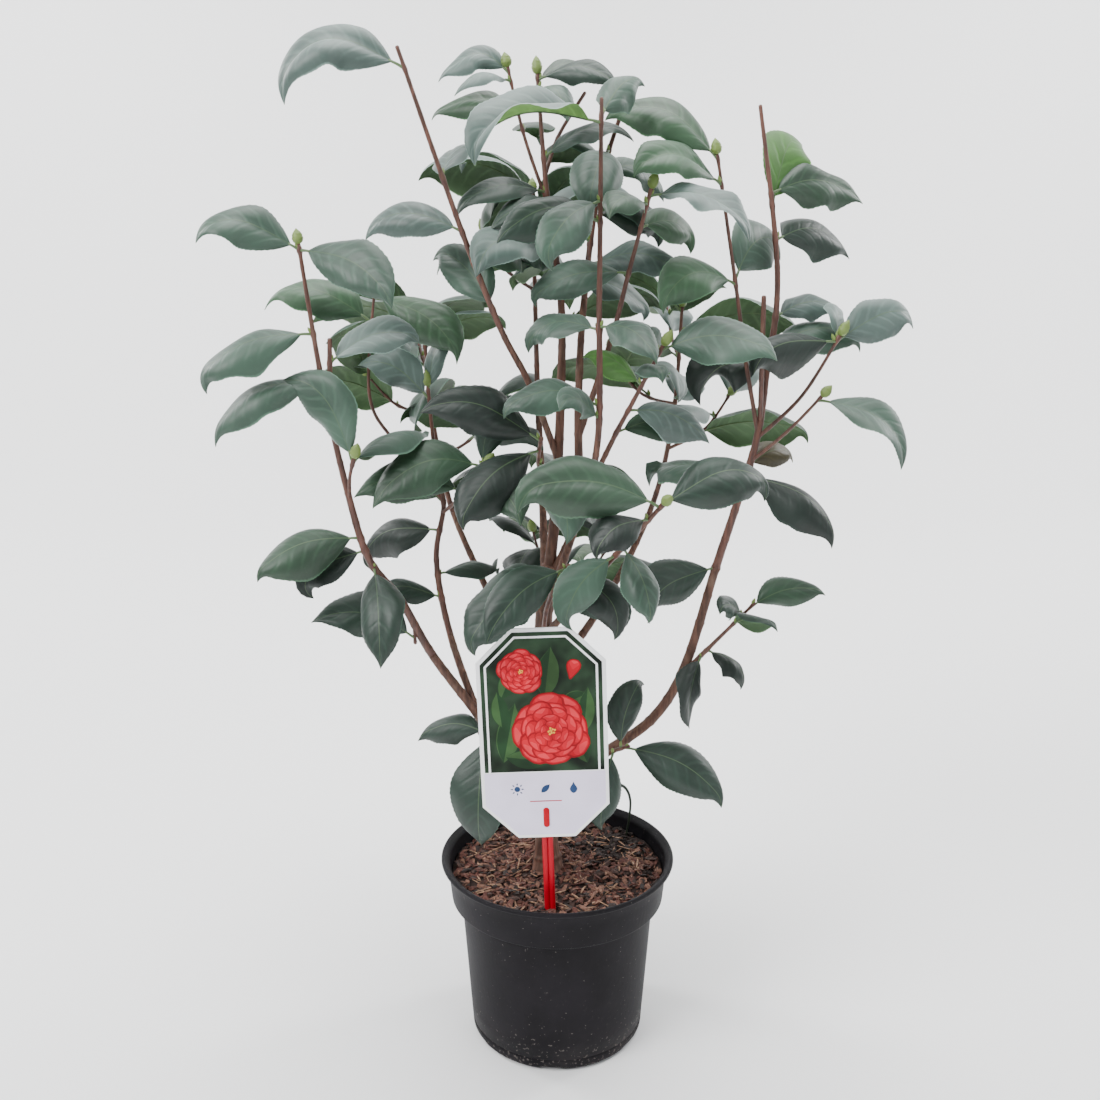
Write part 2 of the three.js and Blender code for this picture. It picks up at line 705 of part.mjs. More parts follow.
/** A solid with its box, for quick tests. */
const boxed = (solid) => ({ solid, box: solid.boundingBox() });

/** Whether two boxed solids share room. */
function meet(one, other) {
  for (let axis = 0; axis < 3; axis++) {
    if (one.box.min[axis] > other.box.max[axis] || one.box.max[axis] < other.box.min[axis]) return false;
  }
  return !one.solid.intersect(other.solid).isEmpty();
}

/**
 * What a leaf keeps clear of. `mass` and `twig` tell whose it is. `blade` is what the leaves of its
 * own mass keep clear of, since they may share a twig at their roots.
 */
function obstacleOf(solid, { mass = null, twig = null } = {}, blade = solid) {
  return { mass, twig, whole: boxed(solid), blade: boxed(blade) };
}

function leafObstacle(leaf, mass) {
  const whole = solidOf(skin(leafRings(leaf, LEAF_MARGIN)));
  const blade = solidOf(skin(leafRings(leaf, LEAF_MARGIN, 1)));
  return obstacleOf(whole, { mass }, blade);
}

function twigObstacles(mass) {
  return mass.twigs.flatMap((twig) => {
    const solids = [solidOf(tube(twig.limb, TWIG_SIDES, TWIG_MARGIN))];
    if (twig.tip === 'bud') solids.push(solidOf(skin(budRings(twig.limb, TWIG_MARGIN))));
    return solids.map((solid) => obstacleOf(solid, { mass, twig }));
  });
}

/** Whether a leaf on a twig would touch an obstacle. */
function isBlocked(leaf, twig, obstacle) {
  if (obstacle.twig === twig) return false;
  const isOtherMass = obstacle.mass && obstacle.mass !== leaf.mass;
  return isOtherMass ? meet(leaf.whole, obstacle.whole) : meet(leaf.blade, obstacle.blade);
}

/** Places the leaves of a mass, each clear of the limbs, the other twigs and the other leaves. */
function growLeaves(mass, obstacles) {
  const placed = [];
  mass.twigs.forEach((twig) => {
    twig.leaves.forEach(([below, bearing, slope, length, droop = LEAF.droop]) => {
      const root = placeBelow(twig.limb, Math.max(below, LEAF.topGap));
      const temper = leafTemper(mass.random);
      for (const [turn, tilt] of LEAF_TURNS) {
        const leaf = {
          root, bearing: bearing + turn, slope: slope + tilt, length, droop: droop + temper.bend, temper,
        };
        const room = leafObstacle(leaf, mass);
        if (!obstacles.some((obstacle) => isBlocked(room, twig, obstacle))) {
          obstacles.push(room);
          placed.push(leaf);
          return;
        }
      }
    });
  });
  return placed;
}

/** One mass as a single solid: its twigs, leaves and buds, cut clear of the limbs. */
function fuseMass(mass, leaves, limbCuts) {
  const buds = mass.twigs.filter((twig) => twig.tip === 'bud').map((twig) => skin(budRings(twig.limb)));
  const twigs = mass.twigs.map((twig) => tube(twig.limb, TWIG_SIDES));
  const blades = leaves.map((leaf) => skin(leafRings(leaf)));
  const joined = [...twigs, ...buds, ...blades].map(solidOf).reduce((all, solid) => all.add(solid));
  const body = largestBody(cutClear(joined, limbCuts));
  return SIMPLIFY.map((distance) => body.simplify(distance)).find(staysSound) ?? body;
}

/** A solid less those of the cuts that meet it. */
function cutClear(solid, cuts) {
  return cuts.filter((cut) => meet(boxed(solid), cut)).reduce((rest, cut) => rest.subtract(cut.solid), solid);
}

// ---------------------------------------------------------------- pot, soil and label

/** The pot's outer outline from the middle of its underside to the rim, as [radius, height]. */
function potOutline() {
  const collarFoot = POT.height - POT.collarDepth;
  return [
    [0, 0],
    [POT.baseRadius, 0],
    [POT.baseRadius + POT.chamfer, POT.chamfer],
    [POT.shoulder, collarFoot - 2],
    [POT.collarFoot, collarFoot],
    [POT.collarTop, POT.height - POT.rimDepth],
    [POT.rimRadius, POT.height - POT.rimDepth + 1],
    [POT.rimRadius, POT.height],
  ];
}

/** The pot's inner outline from the rim down to its floor, moved in by `inset`. */
function potInside(inset) {
  const collarFoot = POT.height - POT.collarDepth;
  const wall = POT.wall + inset;
  return [
    [POT.collarTop - wall, POT.height],
    [POT.collarFoot - wall, collarFoot + 1],
    [POT.shoulder - wall, collarFoot - 3],
    [POT.baseRadius + POT.chamfer - wall, POT.floorHeight + inset],
    [0, POT.floorHeight + inset],
  ];
}

/** A turned solid about the Z axis. */
function turned(outline) {
  const points = outline.map(([radius, height]) => new THREE.Vector2(radius, height));
  const geometry = new THREE.LatheGeometry(points, POT.sides);
  return solidOf(geometry.rotateX(Math.PI / 2));
}

function makePot() {
  let pot = turned([...potOutline(), ...potInside(0)]);
  for (let k = 0; k < POT.notches; k++) {
    const notch = new THREE.CylinderGeometry(1, 1, 2 * POT.notchDepth, POT.notchSides);
    notch.scale(POT.notchWidth / 2, 1, POT.notchHeight);
    notch.translate(0, -POT.baseRadius - POT.chamfer, 0);
    notch.rotateZ(radians(POT.firstNotch) + (2 * Math.PI * k) / POT.notches);
    pot = pot.subtract(solidOf(notch));
  }
  return pot;
}

function makeSoil(stickCut) {
  const inside = potInside(CLEARANCE).filter(([, height]) => height < SOIL_LEVEL);
  const surface = [POT.collarFoot + SOIL_WIDENING - POT.wall - CLEARANCE, SOIL_LEVEL];
  const middle = [0, SOIL_LEVEL];
  return turned([middle, surface, ...inside].reverse()).subtract(stickCut);
}

/** Moves a piece drawn round the label's foot to its place, with the label's lean. */
function placeAtLabel(geometry) {
  return geometry.rotateY(-radians(LABEL.lean)).translate(...LABEL.foot);
}

function makeLabel() {
  const half = LABEL.width / 2;
  const { corner, height } = LABEL;
  const outline = [
    [-half + corner, 0], [half - corner, 0], [half, corner], [half, height - corner],
    [half - corner, height], [-half + corner, height], [-half, height - corner], [-half, corner],
  ];
  const shape = new THREE.Shape(outline.map(([x, z]) => new THREE.Vector2(x, z)));
  const plate = new THREE.ExtrudeGeometry(shape, { depth: LABEL.thickness, bevelEnabled: false });
  return solidOf(placeAtLabel(plate.rotateX(Math.PI / 2)));
}

/** The stick behind the label, from below the soil up to the label's lower part. */
function makeStick(grow = 0) {
  const bottom = SOIL_LEVEL - STICK.buried - LABEL.foot[2];
  const height = STICK.behindLabel - bottom;
  const stick = new THREE.BoxGeometry(STICK.width + 2 * grow, STICK.thickness + 2 * grow, height + 2 * grow);
  stick.translate(0, STICK.thickness / 2 + CLEARANCE, bottom + height / 2);
  return solidOf(placeAtLabel(stick));
}

// ---------------------------------------------------------------- assembly

const object = new THREE.Group();

function addNode(name, solid, [colour, roughness]) {
  const material = new THREE.MeshStandardMaterial({ color: colour, roughness, metalness: 0 });
  const mesh = new THREE.Mesh(geometryOf(solid), material);
  mesh.name = name;
  object.add(mesh);
}

addNode('pot', makePot(), COLOURS.pot);
addNode('soil', makeSoil(makeStick(CLEARANCE)), COLOURS.soil);
const label = makeLabel();
const stick = makeStick();
addNode('label', label, COLOURS.label);
addNode('label_stick', stick, COLOURS.stick);

const limbs = { trunk: makeTrunk() };
const limbCuts = [];
const grownMasses = [];

function addLimb(name, limb, sides) {
  addNode(name, largestBody(cutClear(solidOf(tube(limb, sides)), limbCuts)), COLOURS.bark);
  limbCuts.push(boxed(solidOf(tube(limb, sides, CLEARANCE))));
}

addLimb('trunk', limbs.trunk, TRUNK_SIDES);
LEADERS.forEach((leader) => {
  splitLeader(leader, limbs).forEach(([name, limb]) => {
    limbs[name] = limb;
    if (name in MASSES) grownMasses.push(growTwigs(name, limb));
    else addLimb(name, limb, BOUGH_SIDES);
  });
});

const fixed = [label, stick, ...limbCuts.map((cut) => cut.solid)];
const obstacles = [...fixed.map((solid) => obstacleOf(solid)), ...grownMasses.flatMap(twigObstacles)];
grownMasses.forEach((mass) => {
  const leaves = growLeaves(mass, obstacles);
  addNode(mass.name, fuseMass(mass, leaves, limbCuts), COLOURS.leaves);
});

export default object;
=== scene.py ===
"""Looks of the potted camellia shrub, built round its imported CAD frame.

The plant grows here by the same rule as its solids, in millimetres, and is then made finer: bark with
relief, curved leaves with veins, scaled buds, bark compost, a moulded pot and a printed label.
"""

import math

import bpy
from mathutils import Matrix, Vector, noise
from mathutils.bvhtree import BVHTree


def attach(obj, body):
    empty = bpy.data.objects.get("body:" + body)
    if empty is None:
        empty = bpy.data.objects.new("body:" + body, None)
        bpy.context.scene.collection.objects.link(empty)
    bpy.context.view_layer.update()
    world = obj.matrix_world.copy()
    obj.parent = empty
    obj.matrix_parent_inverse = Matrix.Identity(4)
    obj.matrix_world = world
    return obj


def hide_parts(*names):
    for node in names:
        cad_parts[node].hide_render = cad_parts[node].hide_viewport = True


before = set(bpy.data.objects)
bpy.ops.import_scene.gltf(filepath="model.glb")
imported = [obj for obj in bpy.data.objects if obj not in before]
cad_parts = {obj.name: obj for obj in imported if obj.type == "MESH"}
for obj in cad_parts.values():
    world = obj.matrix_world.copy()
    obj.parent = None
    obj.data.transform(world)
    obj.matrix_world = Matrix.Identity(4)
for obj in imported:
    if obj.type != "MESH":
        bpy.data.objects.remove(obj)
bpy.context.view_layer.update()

MM = 0.001
UP = Vector((0, 0, 1))

# ---------------------------------------------------------------- the solids' sizes, in millimetres

CLEARANCE = 0.3
SOIL_LEVEL = 143
POT = {
    "height": 155, "rim": 95, "lip": 4, "collar_top": 90, "collar_foot": 87, "collar_depth": 34,
    "shoulder": 79, "base": 68, "chamfer": 3, "wall": 1.8, "floor": 3,
    "notches": 6, "first_notch": -4, "notch_width": 22, "notch_height": 4.5, "notch_inner": 57,
}
LABEL = {"width": 95, "height": 166, "corner": 26, "thickness": 1.2, "foot": (-8, -68, 205), "lean": 2}
STICK = {"width": 8.4, "thickness": 3, "buried": 55, "behind_label": 26}
TRUNK = {
    "path": [(-8, -5, 143), (-10, 0, 206), (-12, 5, 286), (-11, 8, 350), (-6, 8, 398)],
    "radius": (8.5, 6.5), "flare": 4.5, "flare_height": 16,
}
LEAF = {
    "top_gap": 5, "root_width": 0.9, "root_thickness": 1, "width_ratio": 0.45, "thickness_ratio": 1 / 55,
    "stations": ((0.36, 0.94), (0.7, 0.84)), "droop": 56,
}
TEMPER = {"bend": 14, "sway": 14, "lean": (0.35, 0.35, 0.2), "width": 0.09}
FACING = {"middle": (0, 60), "reach": (150, 80), "outward": 1.2}
BUD = {"length": 15, "radius": 3.4, "sides": 4, "stations": ((-0.1, 0.28), (0.35, 1)), "tip": 0.85}
LEAF_TURNS = (
    (0, 0), (12, 0), (-12, 0), (0, 14), (0, -14), (24, 10), (-24, 10), (24, -14), (-24, -14), (40, 0),
    (-40, 0), (0, 30), (60, 10), (-60, 10),
)
LEAF_MARGIN = 1.3
TWIG_MARGIN = 1
TRUNK_SIDES = 10
BOUGH_SIDES = 6
TWIG_SIDES = 4
SPAN_STEPS = 3

# Each leader: the limb it grew from, its place there, its radii, its waypoints, and its nodes with
# the number of waypoints that each ends at. The last node is a mass of leaves.
LEADERS = (
    ("trunk", 0.2, (4.4, 1.3),
     [(-62, -15, 281), (-96, -25, 335), (-118, -32, 381), (-139, -38, 413), (-151, -42, 459),
      (-166, -45, 542), (-177, -50, 639)],
     {"left_outer_bough": 2, "left_outer_leaves": 7}),
    ("left_outer_bough", 0.62, (3.2, 1.2),
     [(-84, -4, 345), (-94, 4, 402), (-88, 10, 444), (-93, 12, 471), (-99, 20, 535)],
     {"left_inner_bough": 1, "left_inner_leaves": 5}),
    ("trunk", 0.26, (4.6, 1.4),
     [(44, 0, 247), (78, 0, 275), (101, 0, 318), (122, 0, 397), (136, 0, 446), (149, 0, 496),
      (155, 5, 541), (161, 10, 617), (144, 15, 735)],
     {"right_lower_bough": 3, "right_upper_bough": 4, "right_top_leaves": 9}),
    ("trunk", 0.98, (4.6, 1.2),
     [(-2, 9, 440), (2, 10, 525), (2, 12, 600), (-8, 12, 670), (-15, 15, 756)],
     {"centre_bough": 3, "centre_top_leaves": 5}),
    ("trunk", 0.93, (4, 1.4),
     [(14, 0, 437), (15, -5, 527), (19, 2, 600), (30, 16, 680), (50, 28, 743)],
     {"second_bough": 3, "second_top_leaves": 5}),
    ("trunk", 0.84, (3.2, 1.3),
     [(14, -28, 440), (28, -45, 503), (28, -48, 601), (28, -50, 732)],
     {"front_bough": 2, "front_leaves": 4}),
    ("centre_bough", 0.42, (2.8, 1.4),
     [(-21, -4, 538), (-42, -12, 580), (-69, -25, 651), (-108, -35, 766)],
     {"top_left_bough": 2, "top_left_leaves": 4}),
    ("second_bough", 0.55, (2.6, 1.2), [(38, -15, 571), (50, -22, 620), (64, -30, 676)],
     {"right_centre_bough": 1, "right_centre_leaves": 3}),
    ("second_bough", 0.28, (2.6, 1.2), [(40, -22, 500), (52, -28, 525), (74, -40, 570)],
     {"right_mid_bough": 1, "right_mid_leaves": 3}),
    ("trunk", 0.76, (3, 1.5), [(30, -45, 405), (48, -75, 435), (70, -110, 471)],
     {"right_front_bough": 1, "right_front_leaves": 3}),
    ("centre_bough", 0.2, (2.4, 1.2), [(-14, -20, 480), (-12, -42, 505)], {"centre_front_leaves": 2}),
    ("trunk", 0.7, (2.4, 1.2), [(-8, -30, 375), (8, -58, 415)], {"low_front_leaves": 2}),
    ("trunk", 0.45, (2.4, 1.2), [(-38, -22, 268), (-61, -38, 276)], {"low_left_leaves": 2}),
    ("trunk", 0.36, (2.4, 1.2), [(20, -20, 246), (56, -30, 262)], {"low_right_leaves": 2}),
    ("right_lower_bough", 0.94, (2, 1.1), [(120, -10, 338), (150, -20, 375)], {"right_low_leaves": 2}),
    ("trunk", 0.52, (3.6, 1.3), [(-50, 55, 345), (-88, 95, 420), (-104, 112, 490), (-112, 120, 575)],
     {"back_left_bough": 2, "back_left_leaves": 4}),
    ("trunk", 0.6, (3.6, 1.3), [(40, 55, 355), (80, 95, 425), (98, 112, 500), (104, 120, 590)],
     {"back_right_bough": 2, "back_right_leaves": 4}),
    ("trunk", 0.88, (3.6, 1.3), [(-12, 50, 440), (-16, 85, 520), (-18, 100, 590), (-20, 105, 680)],
     {"back_middle_bough": 2, "back_middle_leaves": 4}),
    ("trunk", 0.3, (3, 1.3), [(-14, 60, 245), (-10, 105, 300), (-6, 130, 370), (-4, 140, 430)],
     {"back_low_bough": 2, "back_low_leaves": 4}),
)

# Each mass: its seed, what ends its leader, the leader's leaves as (distance below the tip, bearing,
# slope, length, droop), its shoots as (distance below the tip, waypoints, radii, end, leaves), and
# what the seeded rule adds.
MASSES = {
    "left_outer_leaves": (11, "bud", [
        (5, 195, 0, 74, 75), (5, 330, -24, 86), (62, 190, -22, 92), (97, 190, -24, 92),
        (212, 200, -16, 82), (222, 190, -45, 62), (236, 280, -52, 78),
    ], [
        (122, [(-159, -48, 575)], (1.9, 1.7), "blunt", [(18, 10, 15, 68)]),
        (182, [(-148, -55, 478), (-143, -62, 494)], (1.4, 1.2), "bud", [(4, 165, 45, 80), (7, 55, 4, 85)]),
        (290, [(-108, -30, 345)], (1.3, 1.1), "bare", [(2, 190, 12, 78)]),
    ], {}),
    "left_inner_leaves": (12, "bud", [
        (10, 165, 25, 60), (4, 45, 55, 50), (90, 150, 10, 72), (112, 160, -30, 82), (147, 35, -12, 58),
        (165, 225, -10, 55),
    ], [
        (88, [(-125, 24, 490), (-145, 30, 527), (-139, 35, 605)], (1.6, 1), "bud",
         [(24, 185, 8, 88), (4, 338, -34, 85)]),
        (98, [(-70, -12, 458), (-52, -30, 484)], (1.6, 1.2), "bud",
         [(3, 195, 2, 90), (38, 215, 8, 85), (6, 20, 60, 62), (14, 300, -20, 70)]),
    ], {}),
    "right_top_leaves": (13, "blunt", [
        (62, 25, 0, 84), (70, 60, 30, 62), (95, 35, -4, 85), (150, 20, 6, 58), (172, 345, -8, 78),
        (184, 165, -32, 66), (262, 35, 5, 52), (270, 340, -38, 88), (276, 150, 2, 85), (345, 210, -32, 76),
    ], [
        (236, [(138, -4, 555), (129, -5, 606), (111, -10, 700)], (1.8, 1.1), "bud",
         [(4, 165, 22, 92), (22, 198, 4, 80), (92, 215, -14, 78, 80), (88, 42, 20, 88)]),
        (228, [(148, -14, 560), (147, -16, 603)], (1.9, 1.8), "blunt", []),
        (240, [(180, -6, 530), (205, -10, 575)], (1.6, 1.1), "bud",
         [(6, 205, -16, 76), (3, 100, 22, 45), (2, 20, 8, 72)]),
        (258, [(170, -12, 505), (192, -20, 532)], (1.4, 1.1), "bud", [(2, 345, -36, 84)]),
    ], {}),
    "centre_top_leaves": (14, "bud", [
        (4, 35, 12, 56), (2, 335, -4, 62), (10, 300, -30, 50), (58, 20, 5, 70), (82, 205, -10, 74),
    ], [
        (90, [(-24, 10, 712), (-36, 10, 760)], (1.4, 1), "bud",
         [(3, 175, 4, 58, 90), (11, 215, -10, 50), (30, 165, 0, 66), (44, 80, 0, 70)]),
        (70, [(0, 32, 715), (20, 42, 747)], (1.5, 1.3), "blunt", []),
    ], {"spiral": (3, 100, 20, 100)}),
    "second_top_leaves": (15, "blunt", [
        (42, 255, -32, 84), (50, 160, -5, 72), (58, 30, -12, 62), (76, 25, -22, 66),
    ], [], {"spiral": (3, 92, 18, 20)}),
    "front_leaves": (16, "blunt", [
        (16, 208, -14, 104), (12, 50, 26, 56), (66, 225, -34, 72), (80, 200, -6, 78, 80),
        (152, 150, -14, 66), (150, 310, -18, 62), (205, 190, 4, 74), (214, 235, 14, 54),
    ], [], {}),
    "top_left_leaves": (17, "blunt", [
        (15, 190, -12, 104, 88), (88, 82, 8, 74), (127, 170, -4, 76, 80), (150, 60, -6, 70),
        (185, 140, 35, 72),
    ], [], {}),
    "right_centre_leaves": (18, "bud", [
        (2, 320, 60, 54), (6, 335, -14, 82), (12, 215, -20, 60), (28, 45, -10, 68), (60, 170, -15, 74),
    ], [], {}),
    "right_mid_leaves": (19, "bud", [
        (3, 335, 2, 84), (7, 120, 0, 62), (26, 280, 5, 50), (34, 200, 28, 48), (55, 10, -20, 66),
        (74, 20, -5, 70),
    ], [], {}),
    "right_front_leaves": (20, "bud", [
        (6, 187, 8, 104), (2, 14, 0, 90), (22, 230, -16, 62), (62, 300, -52, 60), (74, 200, -50, 66),
    ], [], {}),
    "centre_front_leaves": (21, "bare", [
        (2, 190, 12, 90), (6, 330, 12, 80), (16, 205, -38, 92), (30, 300, -48, 70),
    ], [], {}),
    "low_front_leaves": (22, "bare", [
        (2, 250, -32, 80), (4, 345, -45, 66), (14, 200, -32, 92), (34, 150, -20, 70), (38, 20, -20, 66),
    ], [], {}),
    "low_left_leaves": (23, "bare", [(2, 262, -66, 88), (8, 165, -6, 60), (26, 110, 8, 60)], [], {}),
    "low_right_leaves": (24, "bare", [(2, 342, -24, 88), (8, 55, 58, 62), (14, 250, -62, 62)], [], {}),
    "right_low_leaves": (25, "bare", [
        (3, 0, 12, 58), (15, 235, 24, 42), (24, 300, 12, 52), (62, 250, -64, 62), (56, 335, -40, 46),
    ], [], {}),
    "back_left_leaves": (31, "bud", [], [], {"twigs": (3, 70)}),
    "back_right_leaves": (32, "bud", [], [], {"twigs": (3, 70)}),
    "back_middle_leaves": (33, "bud", [], [], {"twigs": (3, 70)}),
    "back_low_leaves": (34, "bud", [], [], {"twigs": (3, 65)}),
}

RULE = {
    "first_twig": 90, "twig_turn": 137.5, "twig_rise": 38, "rise_jitter": 10, "twig_bend": (-12, 14),
    "twig_radius": (1.5, 1), "twig_span": (0.25, 0.68), "twig_reach": (0.85, 1.15),
    "leaf_turn": 144, "leaf_gap": 19, "gap_jitter": 0.2, "first_leaf": 3, "leaves_per_twig": 3,
    "leaves_on_leader": 5, "start_on_twig": 70, "start_on_leader": 200,
    "slope": 14, "slope_per_mm": -0.2, "slope_jitter": 10, "length": (74, 100), "jitter": 22,
}

# ---------------------------------------------------------------- small helpers


def seeded(seed):
    """A repeatable source of numbers from 0 to 1."""
    state = seed
    while True:
        state = (state * 1664525 + 1013904223) % 2**32
        yield state / 2**32


def spread(random, amount):
    return (next(random) * 2 - 1) * amount


def lerp(a, b, t):
    return a + (b - a) * t


def smooth(t):
    t = min(max(t, 0), 1)
    return t * t * (3 - 2 * t)


def along_table(table, at):
    """The value at a place in a table of (place, value), with straight lines between its rows."""
    for (a, first), (b, second) in zip(table, table[1:]):
        if at <= b:
            return lerp(first, second, (at - a) / (b - a))
    return table[-1][1]


def direction(bearing, slope):
    """The direction with a bearing and a slope, in degrees."""
    level = math.cos(math.radians(slope))
    x = math.cos(math.radians(bearing)) * level
    y = math.sin(math.radians(bearing)) * level
    return Vector((x, y, math.sin(math.radians(slope))))


def vectors(places):
    return [Vector(place) for place in places]


def square_to(vector, axis):
    """A vector made square to an axis, of length 1."""
    return (vector - axis * vector.dot(axis)).normalized()


def turns_round(sides):
    """The turns, in radians, to the corners of a ring."""
    return [2 * math.pi * k / sides for k in range(sides)]


def polar(radius, turn):
    return radius * math.cos(turn), radius * math.sin(turn)


def on_ring(middle, aside, across, radius, turn):
    """The point at a turn on a ring, which lies in the plane of two directions."""
    x, y = polar(radius, turn)
    return middle + aside * x + across * y


def ring_round(middle, aside, across, radius, sides):
    return [on_ring(middle, aside, across, radius, turn) for turn in turns_round(sides)]


# ---------------------------------------------------------------- the plant's rule


class Limb:
    """Points along a limb's middle, the radius at each, and the direction at its root."""

    def __init__(self, line, radius, root_heading=None):
        self.line = line
        self.root_heading = root_heading
        self.lengths = [0.0]
        for a, b in zip(line, line[1:]):
            self.lengths.append(self.lengths[-1] + (b - a).length)
        self.radii = [lerp(*radius, length / self.lengths[-1]) for length in self.lengths]

    def heading(self, i):
        if i == 0 and self.root_heading:
            return self.root_heading
        return (self.line[min(i + 1, len(self.line) - 1)] - self.line[max(i - 1, 0)]).normalized()

    def below(self, distance):
        """The point at a distance below the tip."""
        along = max(self.lengths[-1] - distance, 0)
        i = 1
        while i < len(self.line) - 1 and self.lengths[i] < along:
            i += 1
        t = (along - self.lengths[i - 1]) / (self.lengths[i] - self.lengths[i - 1])
        return self.line[i - 1].lerp(self.line[i], t)

    def rings(self, sides, grow=0):
        """Rings of points round the limb, its skin moved out by `grow`."""
        aside = Vector((0, -1, 0))
        rings = []
        for i, middle in enumerate(self.line):
            along = self.heading(i)
            ends = {0: -grow, len(self.line) - 1: grow}
            aside = square_to(aside, along)
            centre = middle + along * ends.get(i, 0)
            rings.append(ring_round(centre, aside, along.cross(aside), self.radii[i] + grow, sides))
        return rings


def smooth_line(waypoints, step=None):
    """A smooth line through waypoints: in SPAN_STEPS pieces a span, or in pieces of about `step`."""
    line = []
    last = len(waypoints) - 1
    for i in range(last):
        four = [waypoints[min(max(k, 0), last)] for k in (i - 1, i, i + 1, i + 2)]
        span = (four[2] - four[1]).length
        steps = max(2, round(span / step)) if step else SPAN_STEPS
        for k in range(steps):
            t = k / steps
            t2, t3 = t * t, t * t * t
            weights = (2 * t2 - t - t3, 2 - 5 * t2 + 3 * t3, t + 4 * t2 - 3 * t3, t3 - t2)
            line.append(sum((w * weight / 2 for w, weight in zip(four, weights)), Vector()))
    return line + [waypoints[last].copy()]


def make_trunk():
    limb = Limb(smooth_line(vectors(TRUNK["path"])), TRUNK["radius"], UP)
    limb.line[0].z += CLEARANCE
    flare = [TRUNK["flare"] * math.exp(-length / TRUNK["flare_height"]) for length in limb.lengths]
    limb.radii = [radius + extra for radius, extra in zip(limb.radii, flare)]
    return limb


def split_leader(leader, limbs):
    """A leader's parts as limbs, each starting just clear of the one before."""
    on, at, radius, path, parts = leader
    parent = limbs[on]
    root = parent.below(parent.lengths[-1] * (1 - at))
    waypoints = [root] + vectors(path)
    whole = Limb(smooth_line(waypoints), radius)
    found = {}
    first = 0
    for name, waypoint in parts.items():
        end = waypoint * SPAN_STEPS
        heading = whole.heading(first)
        line = [point.copy() for point in whole.line[first:end + 1]]
        if first:
            line[0] += heading * CLEARANCE
        found[name] = Limb(line, (whole.radii[first], whole.radii[end]), heading)
        first = end
    return waypoints, found


def leaf_temper(random):
    """A leaf's own variations, drawn in a fixed order."""
    bend = spread(random, TEMPER["bend"])
    sway = spread(random, TEMPER["sway"])
    lean = Vector([spread(random, amount) for amount in TEMPER["lean"]])
    width = LEAF["width_ratio"] * (1 + spread(random, TEMPER["width"]))
    return {"bend": bend, "sway": sway, "lean": lean, "width": width}


def facing(root, lean):
    """The way a blade faces: up, and outwards from the shrub's middle."""
    x = (root.x - FACING["middle"][0]) / FACING["reach"][0]
    y = (root.y - FACING["middle"][1]) / FACING["reach"][1]
    outward = Vector((x, y, 0))
    if outward.length > 1:
        outward.normalize()
    return (outward * FACING["outward"] + UP + lean).normalized()


def leaf_way(leaf, at):
    """The direction in which a leaf runs at a share of its length."""
    sway = leaf["temper"]["sway"]
    return direction(leaf["bearing"] + sway * (at - 0.5), leaf["slope"] + leaf["droop"] * (0.5 - at))


def leaf_rings(leaf, grow=0):
    """The rings of a leaf's solid from its root to its tip."""
    face = facing(leaf["root"], leaf["temper"]["lean"])
    length = leaf["length"]
    half_width = length * leaf["temper"]["width"] / 2
    half_thickness = length * LEAF["thickness_ratio"] / 2
    stations = [(0, LEAF["root_width"] / 2, LEAF["root_thickness"] / 2)]
    stations += [(share, half_width * width, half_thickness) for share, width in LEAF["stations"]]
    middle = leaf["root"].copy()
    reached = 0
    rings = []
    for share, wide, thick in stations:
        way = leaf_way(leaf, (reached + share) / 2)
        middle = middle + way * ((share - reached) * length)
        reached = share
        normal = square_to(face, way)
        side = normal.cross(way)
        up, out = normal * (thick + grow), side * (wide + grow)
        rings.append([middle + out + up, middle - out + up, middle - up])
    way = leaf_way(leaf, (reached + 1) / 2)
    rings.append([middle + way * ((1 - reached) * length + grow)])
    return rings


def bud_rings(limb, grow=0):
    """The rings of a bud's solid, which sits on the end of a shoot."""
    along = limb.heading(len(limb.line) - 1)
    aside = square_to(Vector((0, -1, 0)), along)
    across = along.cross(aside)
    end = limb.line[-1]
    rings = [
        ring_round(end + along * (share * BUD["length"]), aside, across,
                   width * BUD["radius"] + grow, BUD["sides"])
        for share, width in BUD["stations"]
    ]
    return rings + [[end + along * (BUD["tip"] * BUD["length"] + grow)]]


def tree_of(rings):
    """A closed skin over rings of points, as a tree for overlap tests."""
    points = [point for ring in rings for point in ring]
    faces = []
    first = 0
    for near, far in zip(rings, rings[1:]):
        sides = max(len(near), len(far))
        then = first + len(near)
        for k in range(sides):
            following = (k + 1) % sides
            if len(far) == 1:
                faces.append((first + k, first + following, then))
            else:
                faces.append((first + k, first + following, then + following))
                faces.append((first + k, then + following, then + k))
        first = then
    start, end = len(rings[0]), len(rings[-1])
    faces += [(0, k + 1, k) for k in range(1, start - 1)]
    faces += [(first, first + k, first + k + 1) for k in range(1, end - 1)]
    return BVHTree.FromPolygons(points, faces)


def tree_of_node(name):
    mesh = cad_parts[name].data
    points = [vertex.co / MM for vertex in mesh.vertices]
    return BVHTree.FromPolygons(points, [tuple(face.vertices) for face in mesh.polygons])


def obstacle(tree, mass=None, twig=None, blade=None):
    """What a leaf keeps clear of. The leaves of its own mass keep clear of `blade` alone."""
    return {"mass": mass, "twig": twig, "whole": tree, "blade": blade or tree}


def leaf_obstacle(leaf, mass):
    rings = leaf_rings(leaf, LEAF_MARGIN)
    return obstacle(tree_of(rings), mass, None, tree_of(rings[1:]))


def is_blocked(leaf, twig, other):
    """Whether a leaf on a twig would touch an obstacle."""
    if other["twig"] == twig:
        return False
    kind = "whole" if other["mass"] and other["mass"] != leaf["mass"] else "blade"
    return bool(leaf[kind].overlap(other[kind]))


